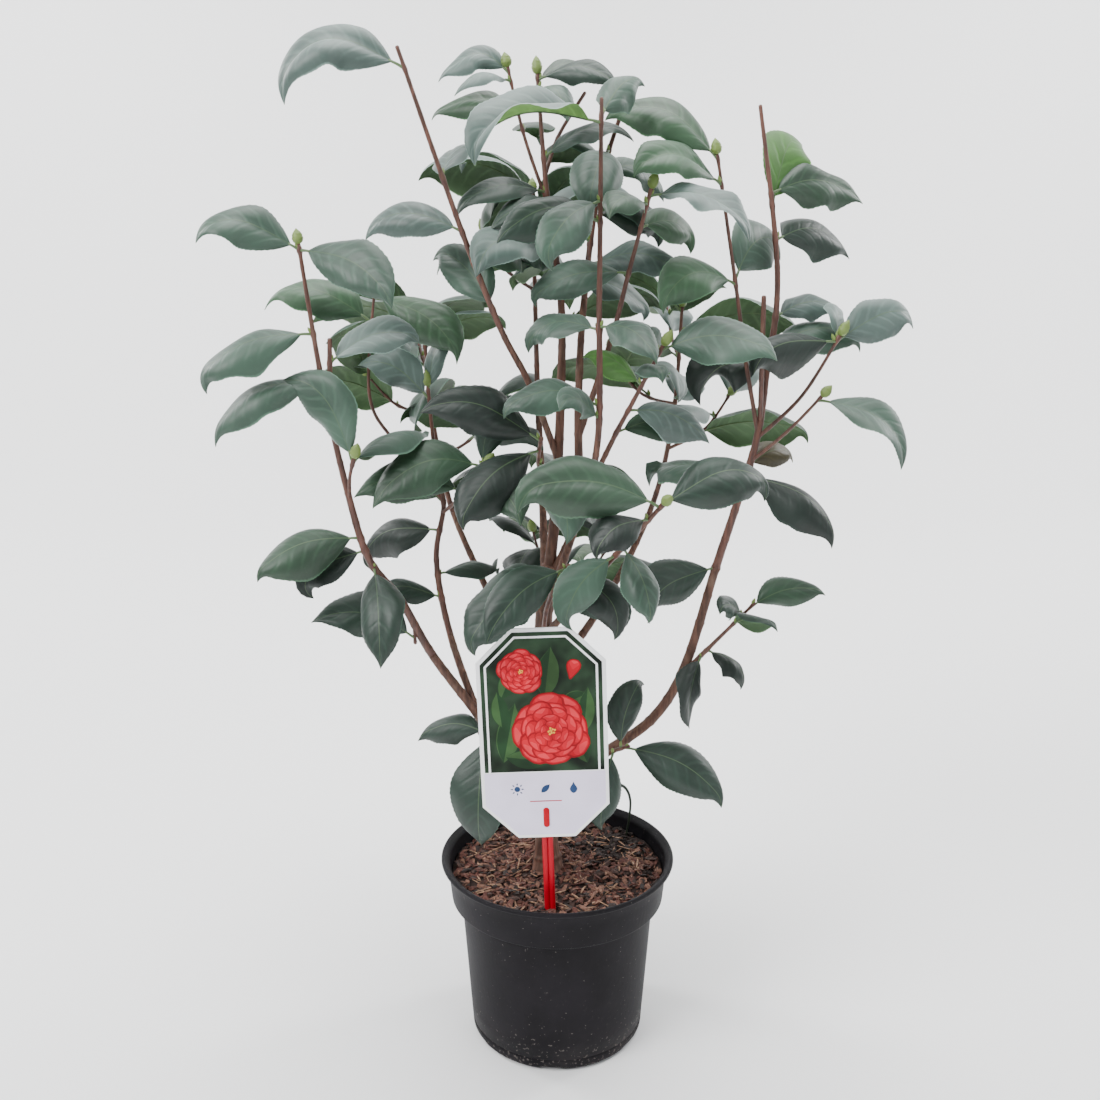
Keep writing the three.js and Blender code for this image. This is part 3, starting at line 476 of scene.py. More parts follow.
def spiral_leaves(random, count, first, gap, start):
    """Leaves in a spiral down a twig, by the seeded rule."""
    leaves = []
    for i in range(count):
        below = first + i * gap + spread(random, gap * RULE["gap_jitter"])
        bearing = start + i * RULE["leaf_turn"] + spread(random, RULE["jitter"])
        slope = RULE["slope"] + RULE["slope_per_mm"] * below + spread(random, RULE["slope_jitter"])
        leaves.append((below, bearing, slope, lerp(*RULE["length"], next(random))))
    return leaves


def rule_twigs(random, leader, count, reach):
    """Side twigs round a leader, by the seeded rule."""
    twigs = []
    for i in range(count):
        below = leader.lengths[-1] * (RULE["twig_span"][0] + RULE["twig_span"][1] * i / count)
        bearing = RULE["first_twig"] + i * RULE["twig_turn"] + spread(random, RULE["jitter"])
        rise = RULE["twig_rise"] + spread(random, RULE["rise_jitter"])
        length = reach * lerp(*RULE["twig_reach"], next(random))
        half = leader.below(below) + direction(bearing, rise + RULE["twig_bend"][0]) * (length / 2)
        end = half + direction(bearing, rise + RULE["twig_bend"][1]) * (length / 2)
        start = bearing + RULE["start_on_twig"]
        leaves = spiral_leaves(
            random, RULE["leaves_per_twig"], RULE["first_leaf"], RULE["leaf_gap"], start)
        twigs.append((below, [half, end], RULE["twig_radius"], "bud", leaves))
    return twigs


def grow_twigs(name, leader, leader_path):
    """All the twigs of a mass, the leader first, each with its limb, its waypoints and its leaves."""
    seed, tip, leaves, shoots, added = MASSES[name]
    random = seeded(seed)
    leaves, shoots = list(leaves), list(shoots)
    if "spiral" in added:
        leaves += spiral_leaves(random, *added["spiral"])
    if "twigs" in added:
        leaves += spiral_leaves(
            random, RULE["leaves_on_leader"], RULE["first_leaf"], RULE["leaf_gap"],
            RULE["start_on_leader"])
        shoots += rule_twigs(random, leader, *added["twigs"])
    twigs = [{"name": name, "limb": leader, "path": leader_path, "tip": tip, "leaves": leaves}]
    for number, (below, path, radius, shoot_tip, shoot_leaves) in enumerate(shoots):
        points = [leader.below(below)] + vectors(path)
        twigs.append({
            "name": f"{name}_{number}", "limb": Limb(smooth_line(points), radius), "path": points,
            "radius": radius, "tip": shoot_tip, "leaves": shoot_leaves,
        })
    return {"name": name, "random": random, "twigs": twigs}


def grow_leaves(mass, obstacles):
    """Places a mass's leaves, each clear of the limbs, the other twigs and the other leaves."""
    placed = []
    for twig in mass["twigs"]:
        for number, given in enumerate(twig["leaves"]):
            below, bearing, slope, length = given[:4]
            droop = given[4] if len(given) > 4 else LEAF["droop"]
            root = twig["limb"].below(max(below, LEAF["top_gap"]))
            temper = leaf_temper(mass["random"])
            for turn, tilt in LEAF_TURNS:
                leaf = {
                    "root": root, "bearing": bearing + turn, "slope": slope + tilt, "length": length,
                    "droop": droop + temper["bend"], "temper": temper,
                    "key": (twig["name"], number),
                }
                room = leaf_obstacle(leaf, mass["name"])
                if not any(is_blocked(room, twig["name"], other) for other in obstacles):
                    obstacles.append(room)
                    placed.append(leaf)
                    break
    return placed


def grow_plant():
    """The leaders with their waypoints, and the masses with their leaves."""
    limbs = {"trunk": make_trunk()}
    obstacles = [obstacle(tree_of_node("label")), obstacle(tree_of_node("label_stick"))]
    obstacles.append(obstacle(tree_of(limbs["trunk"].rings(TRUNK_SIDES, CLEARANCE))))
    leaders, masses = [], []
    for leader in LEADERS:
        waypoints, parts = split_leader(leader, limbs)
        limbs.update(parts)
        leaders.append({"path": waypoints, "radius": leader[2], "parts": leader[4]})
        for name, limb in parts.items():
            if name in MASSES:
                masses.append(grow_twigs(name, limb, waypoints))
            else:
                obstacles.append(obstacle(tree_of(limb.rings(BOUGH_SIDES, CLEARANCE))))
    for mass in masses:
        for twig in mass["twigs"]:
            rings = [twig["limb"].rings(TWIG_SIDES, TWIG_MARGIN)]
            if twig["tip"] == "bud":
                rings.append(bud_rings(twig["limb"], TWIG_MARGIN))
            obstacles += [obstacle(tree_of(ring), mass["name"], twig["name"]) for ring in rings]
    for mass in masses:
        mass["placed"] = grow_leaves(mass, obstacles)
    return leaders, masses


# ---------------------------------------------------------------- meshes


class Piece:
    """Points and faces gathered for one shown piece, in millimetres."""

    def __init__(self):
        self.points = []
        self.faces = []
        self.uvs = []

    def grid(self, rows, closed=False, flip=False, uvs=None):
        """Quads over rows of points. Closed rows are rings."""
        first = len(self.points)
        width = len(rows[0])
        for row in rows:
            self.points += row
        self.uvs += uvs or [(0, 0)] * (width * len(rows))
        for i in range(len(rows) - 1):
            for k in range(width if closed else width - 1):
                following = (k + 1) % width
                a, b = first + i * width + k, first + i * width + following
                c, d = b + width, a + width
                self.faces.append((a, d, c, b) if flip else (a, b, c, d))
        return first

    def cap(self, first, count, flip=False):
        ring = list(range(first, first + count))
        self.faces.append(ring[::-1] if flip else ring)

    def tube(self, rings):
        """A closed tube over rings of points."""
        count = len(rings[0])
        first = self.grid(rings, closed=True)
        self.cap(first, count, flip=True)
        self.cap(first + (len(rings) - 1) * count, count)

    def show(self, name, material, slot, replaces=(), smooth_shaded=True):
        mesh = bpy.data.meshes.new(name)
        mesh.from_pydata([tuple(point * MM) for point in self.points], [], self.faces)
        layer = mesh.uv_layers.new(name="place")
        for loop in mesh.loops:
            layer.data[loop.index].uv = self.uvs[loop.vertex_index]
        mesh.polygons.foreach_set("use_smooth", [smooth_shaded] * len(mesh.polygons))
        mesh.materials.append(material)
        piece = bpy.data.objects.new(name, mesh)
        bpy.context.scene.collection.objects.link(piece)
        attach(piece, "root")
        if replaces:
            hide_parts(*replaces)


# ---------------------------------------------------------------- materials


class Paint:
    """A material's nodes, with short ways to add and join them."""

    def __init__(self, name, colour, roughness, **sockets):
        self.material = bpy.data.materials.new(name)
        self.material.use_nodes = True
        self.material.diffuse_color = (*colour, 1)
        self.tree = self.material.node_tree
        self.shader = self.tree.nodes["Principled BSDF"]
        self.shader.inputs["Base Color"].default_value = (*colour, 1)
        self.shader.inputs["Roughness"].default_value = roughness
        for socket, value in sockets.items():
            self.shader.inputs[socket.replace("_", " ")].default_value = value
        self.place = self.node("ShaderNodeTexCoord").outputs["Object"]

    def node(self, kind, **settings):
        node = self.tree.nodes.new(kind)
        for key, value in settings.items():
            setattr(node, key, value)
        return node

    def put(self, socket, value):
        if isinstance(value, bpy.types.NodeSocket):
            self.tree.links.new(value, socket)
        else:
            socket.default_value = value

    def math(self, operation, a, b=0.0):
        node = self.node("ShaderNodeMath", operation=operation)
        self.put(node.inputs[0], a)
        self.put(node.inputs[1], b)
        return node.outputs[0]

    def times(self, a, b):
        return self.math("MULTIPLY", a, b)

    def plus(self, a, b):
        return self.math("ADD", a, b)

    def split(self, place):
        """The X, Y and Z of a place."""
        node = self.node("ShaderNodeSeparateXYZ")
        self.put(node.inputs[0], place)
        return node.outputs

    def noise(self, scale, detail=3, stretch=(1, 1, 1)):
        mapping = self.node("ShaderNodeMapping")
        self.put(mapping.inputs["Vector"], self.place)
        mapping.inputs["Scale"].default_value = stretch
        texture = self.node("ShaderNodeTexNoise")
        self.put(texture.inputs["Vector"], mapping.outputs["Vector"])
        texture.inputs["Scale"].default_value = scale
        texture.inputs["Detail"].default_value = detail
        return texture.outputs["Fac"]

    def ramp(self, value, low, high):
        node = self.node("ShaderNodeMapRange", interpolation_type="SMOOTHSTEP")
        self.put(node.inputs["Value"], value)
        node.inputs["From Min"].default_value = low
        node.inputs["From Max"].default_value = high
        return node.outputs["Result"]

    def mix(self, factor, a, b):
        node = self.node("ShaderNodeMix", data_type="RGBA")
        self.put(node.inputs["Factor"], factor)
        for socket, colour in (("A", a), ("B", b)):
            found = [i for i in node.inputs if i.name == socket and i.type == "RGBA"][0]
            self.put(found, colour if isinstance(colour, bpy.types.NodeSocket) else (*colour, 1))
        return [o for o in node.outputs if o.type == "RGBA"][0]

    def mottle(self, colour, value, ends, shades):
        """A colour from its darker shade to its paler one, as a value runs between its ends."""
        return self.mix(self.ramp(value, *ends), *[shade(colour, factor) for factor in shades])

    def colour(self, value):
        self.put(self.shader.inputs["Base Color"], value)

    def rough(self, least, value, span):
        """A roughness that rises by a span as a value rises by 1."""
        self.put(self.shader.inputs["Roughness"], self.plus(least, self.times(value, span)))

    def bump(self, height, distance, strength):
        node = self.node("ShaderNodeBump")
        self.put(node.inputs["Height"], height)
        node.inputs["Distance"].default_value = distance
        node.inputs["Strength"].default_value = strength
        self.put(self.shader.inputs["Normal"], node.outputs["Normal"])


def shade(colour, factor):
    return tuple(min(channel * factor, 1) for channel in colour)


# Places across a leaf run from 0 at the midrib to 0.5 at the margin.
VEINS = {"per_leaf": 8, "lean": 3.4, "width": 0.26, "light": 0.3, "fade": (0.46, 0.2)}
MIDRIB = {"colour": (0.075, 0.125, 0.055), "place": (0.014, 0.002)}
# A leaf's margin is paler: partly its own pale edge, partly a painted highlight along it.
MARGIN = {"light": 3.2, "place": (0.472, 0.497)}
POT_LOOK = {"colour": (0.0088, 0.0078, 0.0096), "dust": (0.085, 0.074, 0.068), "dusty_below": 0.045}


def leaf_veins(paint, aside, forward):
    """Faint side veins that run forward from the midrib and fade towards the margin."""
    wobble = paint.times(paint.noise(90, 2), 0.5)
    count = paint.plus(paint.times(forward, VEINS["per_leaf"]), wobble)
    leaning = paint.math("SUBTRACT", count, paint.times(aside, VEINS["lean"]))
    wave = paint.math("PINGPONG", leaning, 0.5)
    return paint.times(paint.ramp(wave, VEINS["width"], 0.0), paint.ramp(aside, *VEINS["fade"]))


def leaf_material(name, colour, roughness, vein_height, sheen):
    paint = Paint(
        name, colour, roughness, Specular_IOR_Level=0.42, Sheen_Weight=sheen, Sheen_Roughness=0.45,
        Sheen_Tint=(0.85, 0.93, 0.92, 1))
    parts = paint.split(paint.node("ShaderNodeUVMap", uv_map="place").outputs["UV"])
    aside = paint.math("ABSOLUTE", paint.math("SUBTRACT", parts["X"], 0.5))
    veins = leaf_veins(paint, aside, parts["Y"])
    broad = paint.noise(24, 2)
    fine = paint.noise(190, 4)
    body = paint.mottle(colour, broad, (0.3, 0.72), (0.75, 1.28))
    speckled = paint.mix(paint.times(paint.ramp(fine, 0.5, 0.8), 0.3), body, shade(colour, 1.6))
    veined = paint.mix(paint.times(veins, VEINS["light"]), speckled, shade(colour, 1.9))
    ribbed = paint.mix(paint.times(paint.ramp(aside, *MIDRIB["place"]), 0.55), veined, MIDRIB["colour"])
    # The paler margin: partly the leaf's own pale edge, partly a painted highlight along it.
    margin = paint.times(paint.ramp(aside, *MARGIN["place"]), 0.75)
    paint.colour(paint.mix(margin, ribbed, shade(colour, MARGIN["light"])))
    paint.rough(roughness - 0.07, broad, 0.14)
    paint.bump(paint.plus(paint.times(veins, vein_height), paint.times(fine, 0.3)), 0.0006, 0.5)
    return paint.material


def bark_material(name, colour, pale, roughness):
    """Bark streaked along the limb, with paler patches."""
    paint = Paint(name, colour, roughness)
    streaks = paint.noise(420, 4, (1, 1, 0.12))
    patches = paint.ramp(paint.noise(45, 3), 0.55, 0.75)
    paint.colour(paint.mix(patches, paint.mottle(colour, streaks, (0.35, 0.7), (0.6, 1.35)), pale))
    paint.bump(streaks, 0.0005, 0.7)
    return paint.material


def plain_material(name, colour, roughness, relief=0.0002, scale=300, unevenness=0.1, specular=0.5):
    """A moulded or printed surface: its colour a little uneven, with a fine relief."""
    paint = Paint(name, colour, roughness, Specular_IOR_Level=specular)
    grain = paint.noise(scale, 3)
    shades = (1 - unevenness, 1 + unevenness)
    paint.colour(paint.mottle(colour, paint.noise(40, 2), (0.3, 0.7), shades))
    paint.rough(roughness - 0.05, grain, 0.1)
    paint.bump(grain, relief, 0.4)
    return paint.material


def pot_material():
    """Charcoal black plastic with scuffs, and with dust that gathers towards the foot."""
    colour, dust = POT_LOOK["colour"], POT_LOOK["dust"]
    paint = Paint("pot_plastic", colour, 0.5, Specular_IOR_Level=0.1)
    low = paint.ramp(paint.split(paint.place)["Z"], POT_LOOK["dusty_below"], 0.0)
    patches = paint.noise(22, 3)
    scuffs = paint.noise(300, 5, (1, 1, 0.6))
    body = paint.mottle(colour, patches, (0.3, 0.7), (0.8, 1.35))
    scuffed = paint.mix(paint.times(paint.ramp(scuffs, 0.62, 0.8), 0.12), body, dust)
    clouds = paint.times(paint.times(low, paint.ramp(patches, 0.4, 0.7)), 0.16)
    dusty = paint.mix(clouds, scuffed, dust)
    specks = paint.ramp(paint.plus(paint.noise(420, 2), paint.times(low, 0.12)), 0.7, 0.76)
    paint.colour(paint.mix(paint.times(specks, 0.6), dusty, shade(dust, 1.5)))
    paint.rough(0.46, patches, 0.16)
    paint.bump(scuffs, 0.00025, 0.5)
    return paint.material


# ---------------------------------------------------------------- limbs and twigs

LIMB_STEP = 1.6  # from one ring to the next
RELIEF = 0.055  # bark ridges, as a share of the radius
TRUNK_RELIEF = RELIEF * 1.3
# How fast the bark's ridges change round a limb, along it and from limb to limb.
BROAD_RIDGES = (1.7, 0.06, 0.3)
FINE_RIDGES = (0.9, 0.3, 0.1)
SCARS = {"gap": 23, "reach": 1.3, "height": 0.1}  # old leaf scars, their height as a share of the radius
NODES = {"reach": 2.2, "height": 0.45}  # swellings where leaves leave a twig
ROUNDED_END = {"length": 0.8, "share": 0.55}
SIDES = {"trunk": 24, "stout": 14, "thin": 10, "twig": 9}
STOUT = 3  # a leader's radius, over which it gets more sides


def hump(distance, reach):
    """A smooth hump of height 1."""
    return math.exp(-(distance / reach) ** 2)


def ridge_height(k, length, middle):
    """The bark's ridges, broad and fine, at a side of a ring."""
    around, along, across = BROAD_RIDGES
    broad = noise.noise(Vector((k * around, length * along, middle.x * across)))
    around, along, across = FINE_RIDGES
    return broad + 0.5 * noise.noise(Vector((k * around, length * along, 7 + middle.y * across)))


def bark_rings(line, radius_at, sides, swells, relief):
    """Rings of a limb with ridges along it and swellings where leaves leave or have left it."""
    limb = Limb(line, (1, 1))
    total = limb.lengths[-1]
    aside = Vector((0, -1, 0))
    rings = []
    for i, middle in enumerate(line):
        along = limb.heading(i)
        aside = square_to(aside, along)
        length = limb.lengths[i]
        base = radius_at(length)
        swell = sum(NODES["height"] * hump(length - place, NODES["reach"]) for place in swells)
        scar = hump(length % SCARS["gap"] - SCARS["gap"] / 2, SCARS["reach"]) * SCARS["height"] * base
        end = smooth((total - length) / ROUNDED_END["length"] + ROUNDED_END["share"])
        ring = ring_round(middle, aside, along.cross(aside), 1, sides)
        for k, point in enumerate(ring):
            ridged = base * (1 + relief * ridge_height(k, length, middle))
            ring[k] = middle + (point - middle) * ((ridged + swell + scar) * end)
        rings.append(ring)
    return rings


def trunk_radius(length):
    path = vectors(TRUNK["path"])
    total = sum((b - a).length for a, b in zip(path, path[1:]))
    return lerp(*TRUNK["radius"], length / total) + TRUNK["flare"] * math.exp(-length / TRUNK["flare_height"])


def limb_rings(path, radius, leaves, sides):
    """The line and the rings of a bough or twig, which swells at each of its leaves."""
    line = smooth_line(path, LIMB_STEP)
    total = Limb(line, radius).lengths[-1]
    swells = [total - leaf[0] for leaf in leaves]
    return line, bark_rings(line, lambda length: lerp(*radius, length / total), sides, swells, RELIEF)


def add_limbs(bark, twigs, leaders, masses):
    """The trunk, boughs and twigs with bark relief. A leader is bark as far as its boughs reach."""
    trunk_line = smooth_line(vectors(TRUNK["path"]), LIMB_STEP)
    bark.tube(bark_rings(trunk_line, trunk_radius, SIDES["trunk"], [], TRUNK_RELIEF))
    leaves_of = {mass["name"]: mass["twigs"][0]["leaves"] for mass in masses}
    for leader in leaders:
        *boughs, mass_name = leader["parts"]
        sides = SIDES["stout" if leader["radius"][0] > STOUT else "thin"]
        line, rings = limb_rings(leader["path"], leader["radius"], leaves_of[mass_name], sides)
        joint = 0
        if boughs:
            joint = nearest_index(line, leader["path"][leader["parts"][boughs[-1]]])
            bark.tube(rings[:joint + 1])
        twigs.tube(rings[joint:])
    for mass in masses:
        for twig in mass["twigs"][1:]:
            twigs.tube(limb_rings(twig["path"], twig["radius"], twig["leaves"], SIDES["twig"])[1])


def nearest_index(line, place):
    return min(range(len(line)), key=lambda i: (line[i] - place).length)


# ---------------------------------------------------------------- leaves

PETIOLE = 0.085  # share of the length that is stalk
STALK_RADIUS = (1.15, 0.85)
ROWS = 42
COLUMNS = 12
# Half width along the blade, as (share of the blade, share of the full half width).
OUTLINE = (
    (0, 0.02), (0.03, 0.16), (0.08, 0.37), (0.15, 0.6), (0.24, 0.82), (0.34, 0.96), (0.44, 1), (0.55, 0.97),
    (0.65, 0.87), (0.74, 0.71), (0.82, 0.5), (0.88, 0.31), (0.93, 0.165), (0.97, 0.07), (1, 0.0),
)
TOOTH = 0.22
TOOTHED = (0.1, 0.95)  # the shares of the blade between which its edge has teeth
BLADE_THICKNESS = 0.42
BLADE_FULLNESS = 1.14  # how much wider a blade lies flat than its solid, before it folds and rolls
BLADE_STRETCH = 1.07  # how much longer it is than its solid, before it bends and hooks
BEND_SPREAD = 0.55  # share of the length that a leaf's bend is spread over
TWIST_FROM = 0.3  # share of the length where a leaf isn't twisted
ROLL_NARROWS = 0.2  # how far a full roll draws the margin in
WAVE_HEIGHT = 1.6
WAVE_LAG = 0.8  # how far apart the waves of the two margins run, in radians either way
VEINED_LENGTH = 90  # the length of leaf that has the full count of veins
RIB_WIDTH = (0.55, 0.18)
RIB_HEIGHT = 0.1
RIB_FOOT = 0.03
UNDER_RIB = (0.75, 0.2)
UNDER_RIB_SECTION = ((1, 0), (0.6, 0.8), (0, 1.1), (-0.6, 0.8), (-1, 0))
STALK = {"rings": 6, "sides": 8, "sunk": 0.35, "arch": 0.5}

# The ranges that a leaf's own curves are drawn from. The fold lifts both halves, the roll bends them
# down again, and the edge curls the margin under. Bends, hooks and twists are in degrees.
CURVES = {
    "fold": (0.1, 0.46), "roll": (0.28, 0.8), "edge": (0.02, 0.22), "wave": (0.03, 0.13), "waves": (1.1, 2.4),
    "bend_at": (0.4, 0.66), "bend_sharpness": (0.2, 0.85), "hook": (14, 74), "hook_start": (0.66, 0.84),
    "twist": (-20, 20), "skew": (-0.08, 0.08), "uneven": (-0.14, 0.14),
}
# Leaves with curves of their own, by twig and number.
OWN_CURVES = {
    ("front_leaves", 0): {"flap": 82, "fold": 0.1, "roll": 0.3, "uneven": 0, "twist": 0, "hook": 60},
    ("right_top_leaves", 1): {"size": 1.3, "fold": 0.06, "roll": 0.1, "edge": 0.02, "hook": 8, "twist": 0},
    ("right_top_leaves", 5): {"fold": 0.1, "roll": 0.95, "edge": 0.3, "hook": 30},
    ("right_top_leaves", 7): {"fold": 0.15, "roll": 0.85, "edge": 0.25, "hook": 30},
    ("right_top_leaves_2", 0): {"fold": 0.1, "roll": 0.95, "edge": 0.3, "hook": 30},
    ("top_left_leaves", 0): {"bend_at": 0.5, "bend_sharpness": 0.85, "hook": 46, "fold": 0.5, "wave": 0.03},
    ("low_left_leaves", 0): {"fold": 0.12, "roll": 0.2, "edge": 0.05, "hook": 20, "twist": 0},
}


class Blade:
    """A leaf's fine shape: its middle line, its directions and its own curves."""

    def __init__(self, leaf, random):
        self.leaf = leaf
        curves = {name: lerp(*ends, next(random)) for name, ends in CURVES.items()}
        self.phase = next(random) * 2 * math.pi
        curves.update(OWN_CURVES.get(leaf["key"], {}))
        self.curves = curves
        self.length = leaf["length"] * curves.get("size", 1)
        self.half_width = self.length * leaf["temper"]["width"] / 2 * BLADE_FULLNESS
        self.frames = self.make_frames()

    def slope(self, at):
        """The slope at a share of the length: it turns down about one place, and hooks at the tip."""
        c = self.curves
        sharp = smooth((at - c["bend_at"]) / BEND_SPREAD + 0.5)
        turned = lerp(at, sharp, c["bend_sharpness"])
        hook = c["hook"] * smooth((at - c["hook_start"]) / (1 - c["hook_start"]))
        return self.leaf["slope"] + self.leaf["droop"] * (0.5 - turned) - hook

    def make_frames(self):
        """The middle, side and normal at each row, from the end of the stalk to the tip."""
        leaf = self.leaf
        face = facing(leaf["root"], leaf["temper"]["lean"])
        middle = leaf["root"].copy()
        reached = 0
        frames = []
        for i in range(ROWS + 1):
            share = lerp(PETIOLE, 1, i / ROWS)
            at = (reached + share) / 2
            bearing = leaf["bearing"] + leaf["temper"]["sway"] * (at - 0.5)
            way = direction(bearing, self.slope(at))
            middle = middle + way * ((share - reached) * self.length * BLADE_STRETCH)
            reached = share
            normal = square_to(face, way)
            side = normal.cross(way)
            turn = math.radians(self.curves["twist"]) * (share - TWIST_FROM)
            tilted = side * math.cos(turn) + normal * math.sin(turn)
            frames.append((middle, tilted, way.cross(tilted)))
        return frames

    def point(self, i, u, lift=0.0):
        """The point in a row at `u`, from -1 to 1 across, lifted along the normal."""
        c = self.curves
        share = i / ROWS
        middle, side, normal = self.frames[i]
        sign = 1 if u > 0 else -1
        width = self.half_width * along_table(OUTLINE, share) * (1 + c["skew"] * u)
        across = u * (1 - ROLL_NARROWS * c["roll"] * u * u) * width
        if abs(u) == 1 and TOOTHED[0] < share < TOOTHED[1]:
            across += sign * TOOTH * (1 if i % 2 else -1)
        lobe = math.sin(2 * math.pi * c["waves"] * share + self.phase + sign * WAVE_LAG)
        bow = c["fold"] * abs(u) * (1 + sign * c["uneven"]) - c["roll"] * u * u - c["edge"] * abs(u) ** 5
        rise = (bow + WAVE_HEIGHT * c["wave"] * lobe * u * u) * width + lift
        flap = math.radians(c.get("flap", 0)) if u > 0 else 0
        along_side = across * math.cos(flap) - rise * math.sin(flap)
        along_normal = across * math.sin(flap) + rise * math.cos(flap)
        return middle + side * along_side + normal * along_normal


def add_blade(blade, tops, undersides, ribs):
    """A blade with its midrib and its stalk. Its texture place holds `u` and the way along its veins."""
    length_share = blade.leaf["length"] / VEINED_LENGTH
    across = [2 * k / COLUMNS - 1 for k in range(COLUMNS + 1)]
    upper, lower, uvs = [], [], []
    for i in range(ROWS + 1):
        upper.append([blade.point(i, u) for u in across])
        lower.append([blade.point(i, u, 0 if abs(u) == 1 else -BLADE_THICKNESS) for u in across])
        uvs += [(u / 2 + 0.5, length_share * i / ROWS) for u in across]
    tops.grid(upper, flip=True, uvs=uvs)
    undersides.grid(lower, uvs=uvs)
    add_midrib(blade, tops, ribs)
    add_stalk(blade, ribs)


def add_midrib(blade, tops, ribs):
    """The midrib, as a low ridge on the upper side and a round one below."""
    over, under = [], []
    for i in range(ROWS):
        share = i / ROWS
        middle, side, normal = blade.frames[i]
        half = lerp(*RIB_WIDTH, share)
        foot = middle + normal * RIB_FOOT
        over.append([foot - side * half, middle + normal * RIB_HEIGHT, foot + side * half])
        radius = lerp(*UNDER_RIB, share)
        base = middle - normal * (BLADE_THICKNESS * 0.8)
        under.append([base + side * (radius * a) - normal * (radius * b) for a, b in UNDER_RIB_SECTION])
    tops.grid(over, flip=True, uvs=[(0.5, 0)] * (3 * ROWS))
    ribs.grid(under, flip=True)


def add_stalk(blade, piece):
    """The leaf's stalk, from inside its twig to the foot of the blade."""
    end, side, normal = blade.frames[1]
    start = blade.leaf["root"]
    way = (end - start).normalized()
    rings = []
    for k in range(STALK["rings"]):
        share = k / (STALK["rings"] - 1)
        arch = normal * (STALK["arch"] * math.sin(math.pi * share))
        middle = start.lerp(end - normal * STALK["sunk"], share) + arch
        radius = lerp(*STALK_RADIUS, share)
        rings.append(ring_round(middle, side, way.cross(side), radius, STALK["sides"]))
    piece.tube(rings)


# ---------------------------------------------------------------- buds

BUD_PROFILE = (
    (0, 0.32), (0.06, 0.62), (0.16, 0.88), (0.3, 1), (0.48, 0.97), (0.65, 0.8), (0.8, 0.55), (0.92, 0.25),
    (1, 0.03),
)
# The buds that end shoots: their radius as a share of their solid's, and the range of their lengths.
END_BUD = {"fullness": 1.22, "length": (0.8, 1.02), "sunk": 0.6, "sides": 16, "rows": 22}
# The small buds between leaves and twigs: the share of leaves without one, and the range of their lengths.
SIDE_BUD = {
    "without": 0.3, "length": (3.6, 6.2), "radius": 0.27, "out": 1.3, "up": 0.8, "sides": 8, "rows": 8,
}
SCALES = {"tiers": 3.0, "step": 0.13, "twist": 9}


def bud_mesh(piece, root, along, length, radius, look):
    """A bud with a spiral of overlapping scales."""
    aside = square_to(Vector((0.3, -1, 0.1)), along)
    across = along.cross(aside)
    rings = []
    for i in range(look["rows"] + 1):
        share = i / look["rows"]
        ring = []
        for turn in turns_round(look["sides"]):
            lift = (1 + math.sin(2 * turn + share * SCALES["twist"])) / 4
            out = along_table(BUD_PROFILE, share) * radius
            out *= 1 - SCALES["step"] * ((share * SCALES["tiers"] + lift) % 1)
            ring.append(on_ring(root + along * (share * length), aside, across, out, turn))
        rings.append(ring)
    piece.tube(rings)


def add_buds(piece, mass, random):
    """The buds that end a mass's shoots, and small ones in the angles of its leaves."""
    for twig in mass["twigs"]:
        limb = twig["limb"]
        if twig["tip"] == "bud":
            along = limb.heading(len(limb.line) - 1)
            length = BUD["length"] * BUD["tip"] * lerp(*END_BUD["length"], next(random))
            root = limb.line[-1] - along * END_BUD["sunk"]
            bud_mesh(piece, root, along, length, BUD["radius"] * END_BUD["fullness"], END_BUD)
    for leaf in mass["placed"]:
        if next(random) >= SIDE_BUD["without"]:
            out = leaf_way(leaf, 0)
            along = (out * 0.6 + UP).normalized()
            length = lerp(*SIDE_BUD["length"], next(random))
            root = leaf["root"] + out * SIDE_BUD["out"] + UP * SIDE_BUD["up"]
            bud_mesh(piece, root, along, length, length * SIDE_BUD["radius"], SIDE_BUD)


# ---------------------------------------------------------------- pot and compost

POT_SIDES = 216
POT_BULGES = {"depth": 0.12, "length": 40}


def pot_profile():
    """The pot's outline, out along its underside, up its wall, over the lip and down inside."""
    height, rim, wall, base, notch = (POT[key] for key in ("height", "rim", "wall", "base", "notch_inner"))
    collar_top, collar_foot, shoulder = (POT[key] for key in ("collar_top", "collar_foot", "shoulder"))
    foot = height - POT["collar_depth"]
    lip = height - POT["lip"]
    heel = base + POT["chamfer"]

    def body(z):
        return lerp(heel, shoulder, (z - POT["chamfer"]) / (foot - 5))

    underside = [(0, 0.0), (30, 0.0), (notch, 0.0), (notch + 0.01, 0.0)]
    edge = [(base - 1.6, 0.0), (base - 0.4, 0.25), (base + 0.6, 0.9), (base + 2.2, 2.4), (body(4.6), 4.6)]
    groove = [(body(9.2), 9.2), (body(9.6) - 0.55, 9.7), (body(10.6) - 0.55, 10.5), (body(11), 11.0)]
    side = [(body(z), z) for z in (25, 45, 70, 95, 112, foot - 3.5)]
    step = [
        (shoulder + 0.1, foot - 2.4), (shoulder + 1.4, foot - 1.5), (collar_foot - 1.2, foot - 0.8),
        (collar_foot - 0.2, foot - 0.1),
    ]
    collar = [
        (lerp(collar_foot, collar_top, t), lerp(foot + 1, lip - 0.6, t)) for t in (0, 0.3, 0.6, 0.97)
    ]
    rounded_lip = [
        (collar_top + 0.8, lip - 0.1), (rim - 1.2, lip + 0.3), (rim - 0.3, lip + 0.8), (rim, lip + 1.7),
        (rim, height - 1.2), (rim - 0.4, height - 0.35), (rim - 1.2, height), (rim - 2.5, height),
        (rim - 3.1, height - 0.5),
    ]
    inside = [
        (collar_top - wall + 0.3, lip + 0.8), (collar_top - wall - 0.1, lip - 1.5),
        (collar_foot - wall, foot + 1), (shoulder - wall, foot - 3), (heel - wall, POT["floor"]),
        (0.01, POT["floor"]),
    ]
    return underside + edge + groove + side + step + collar + rounded_lip + inside


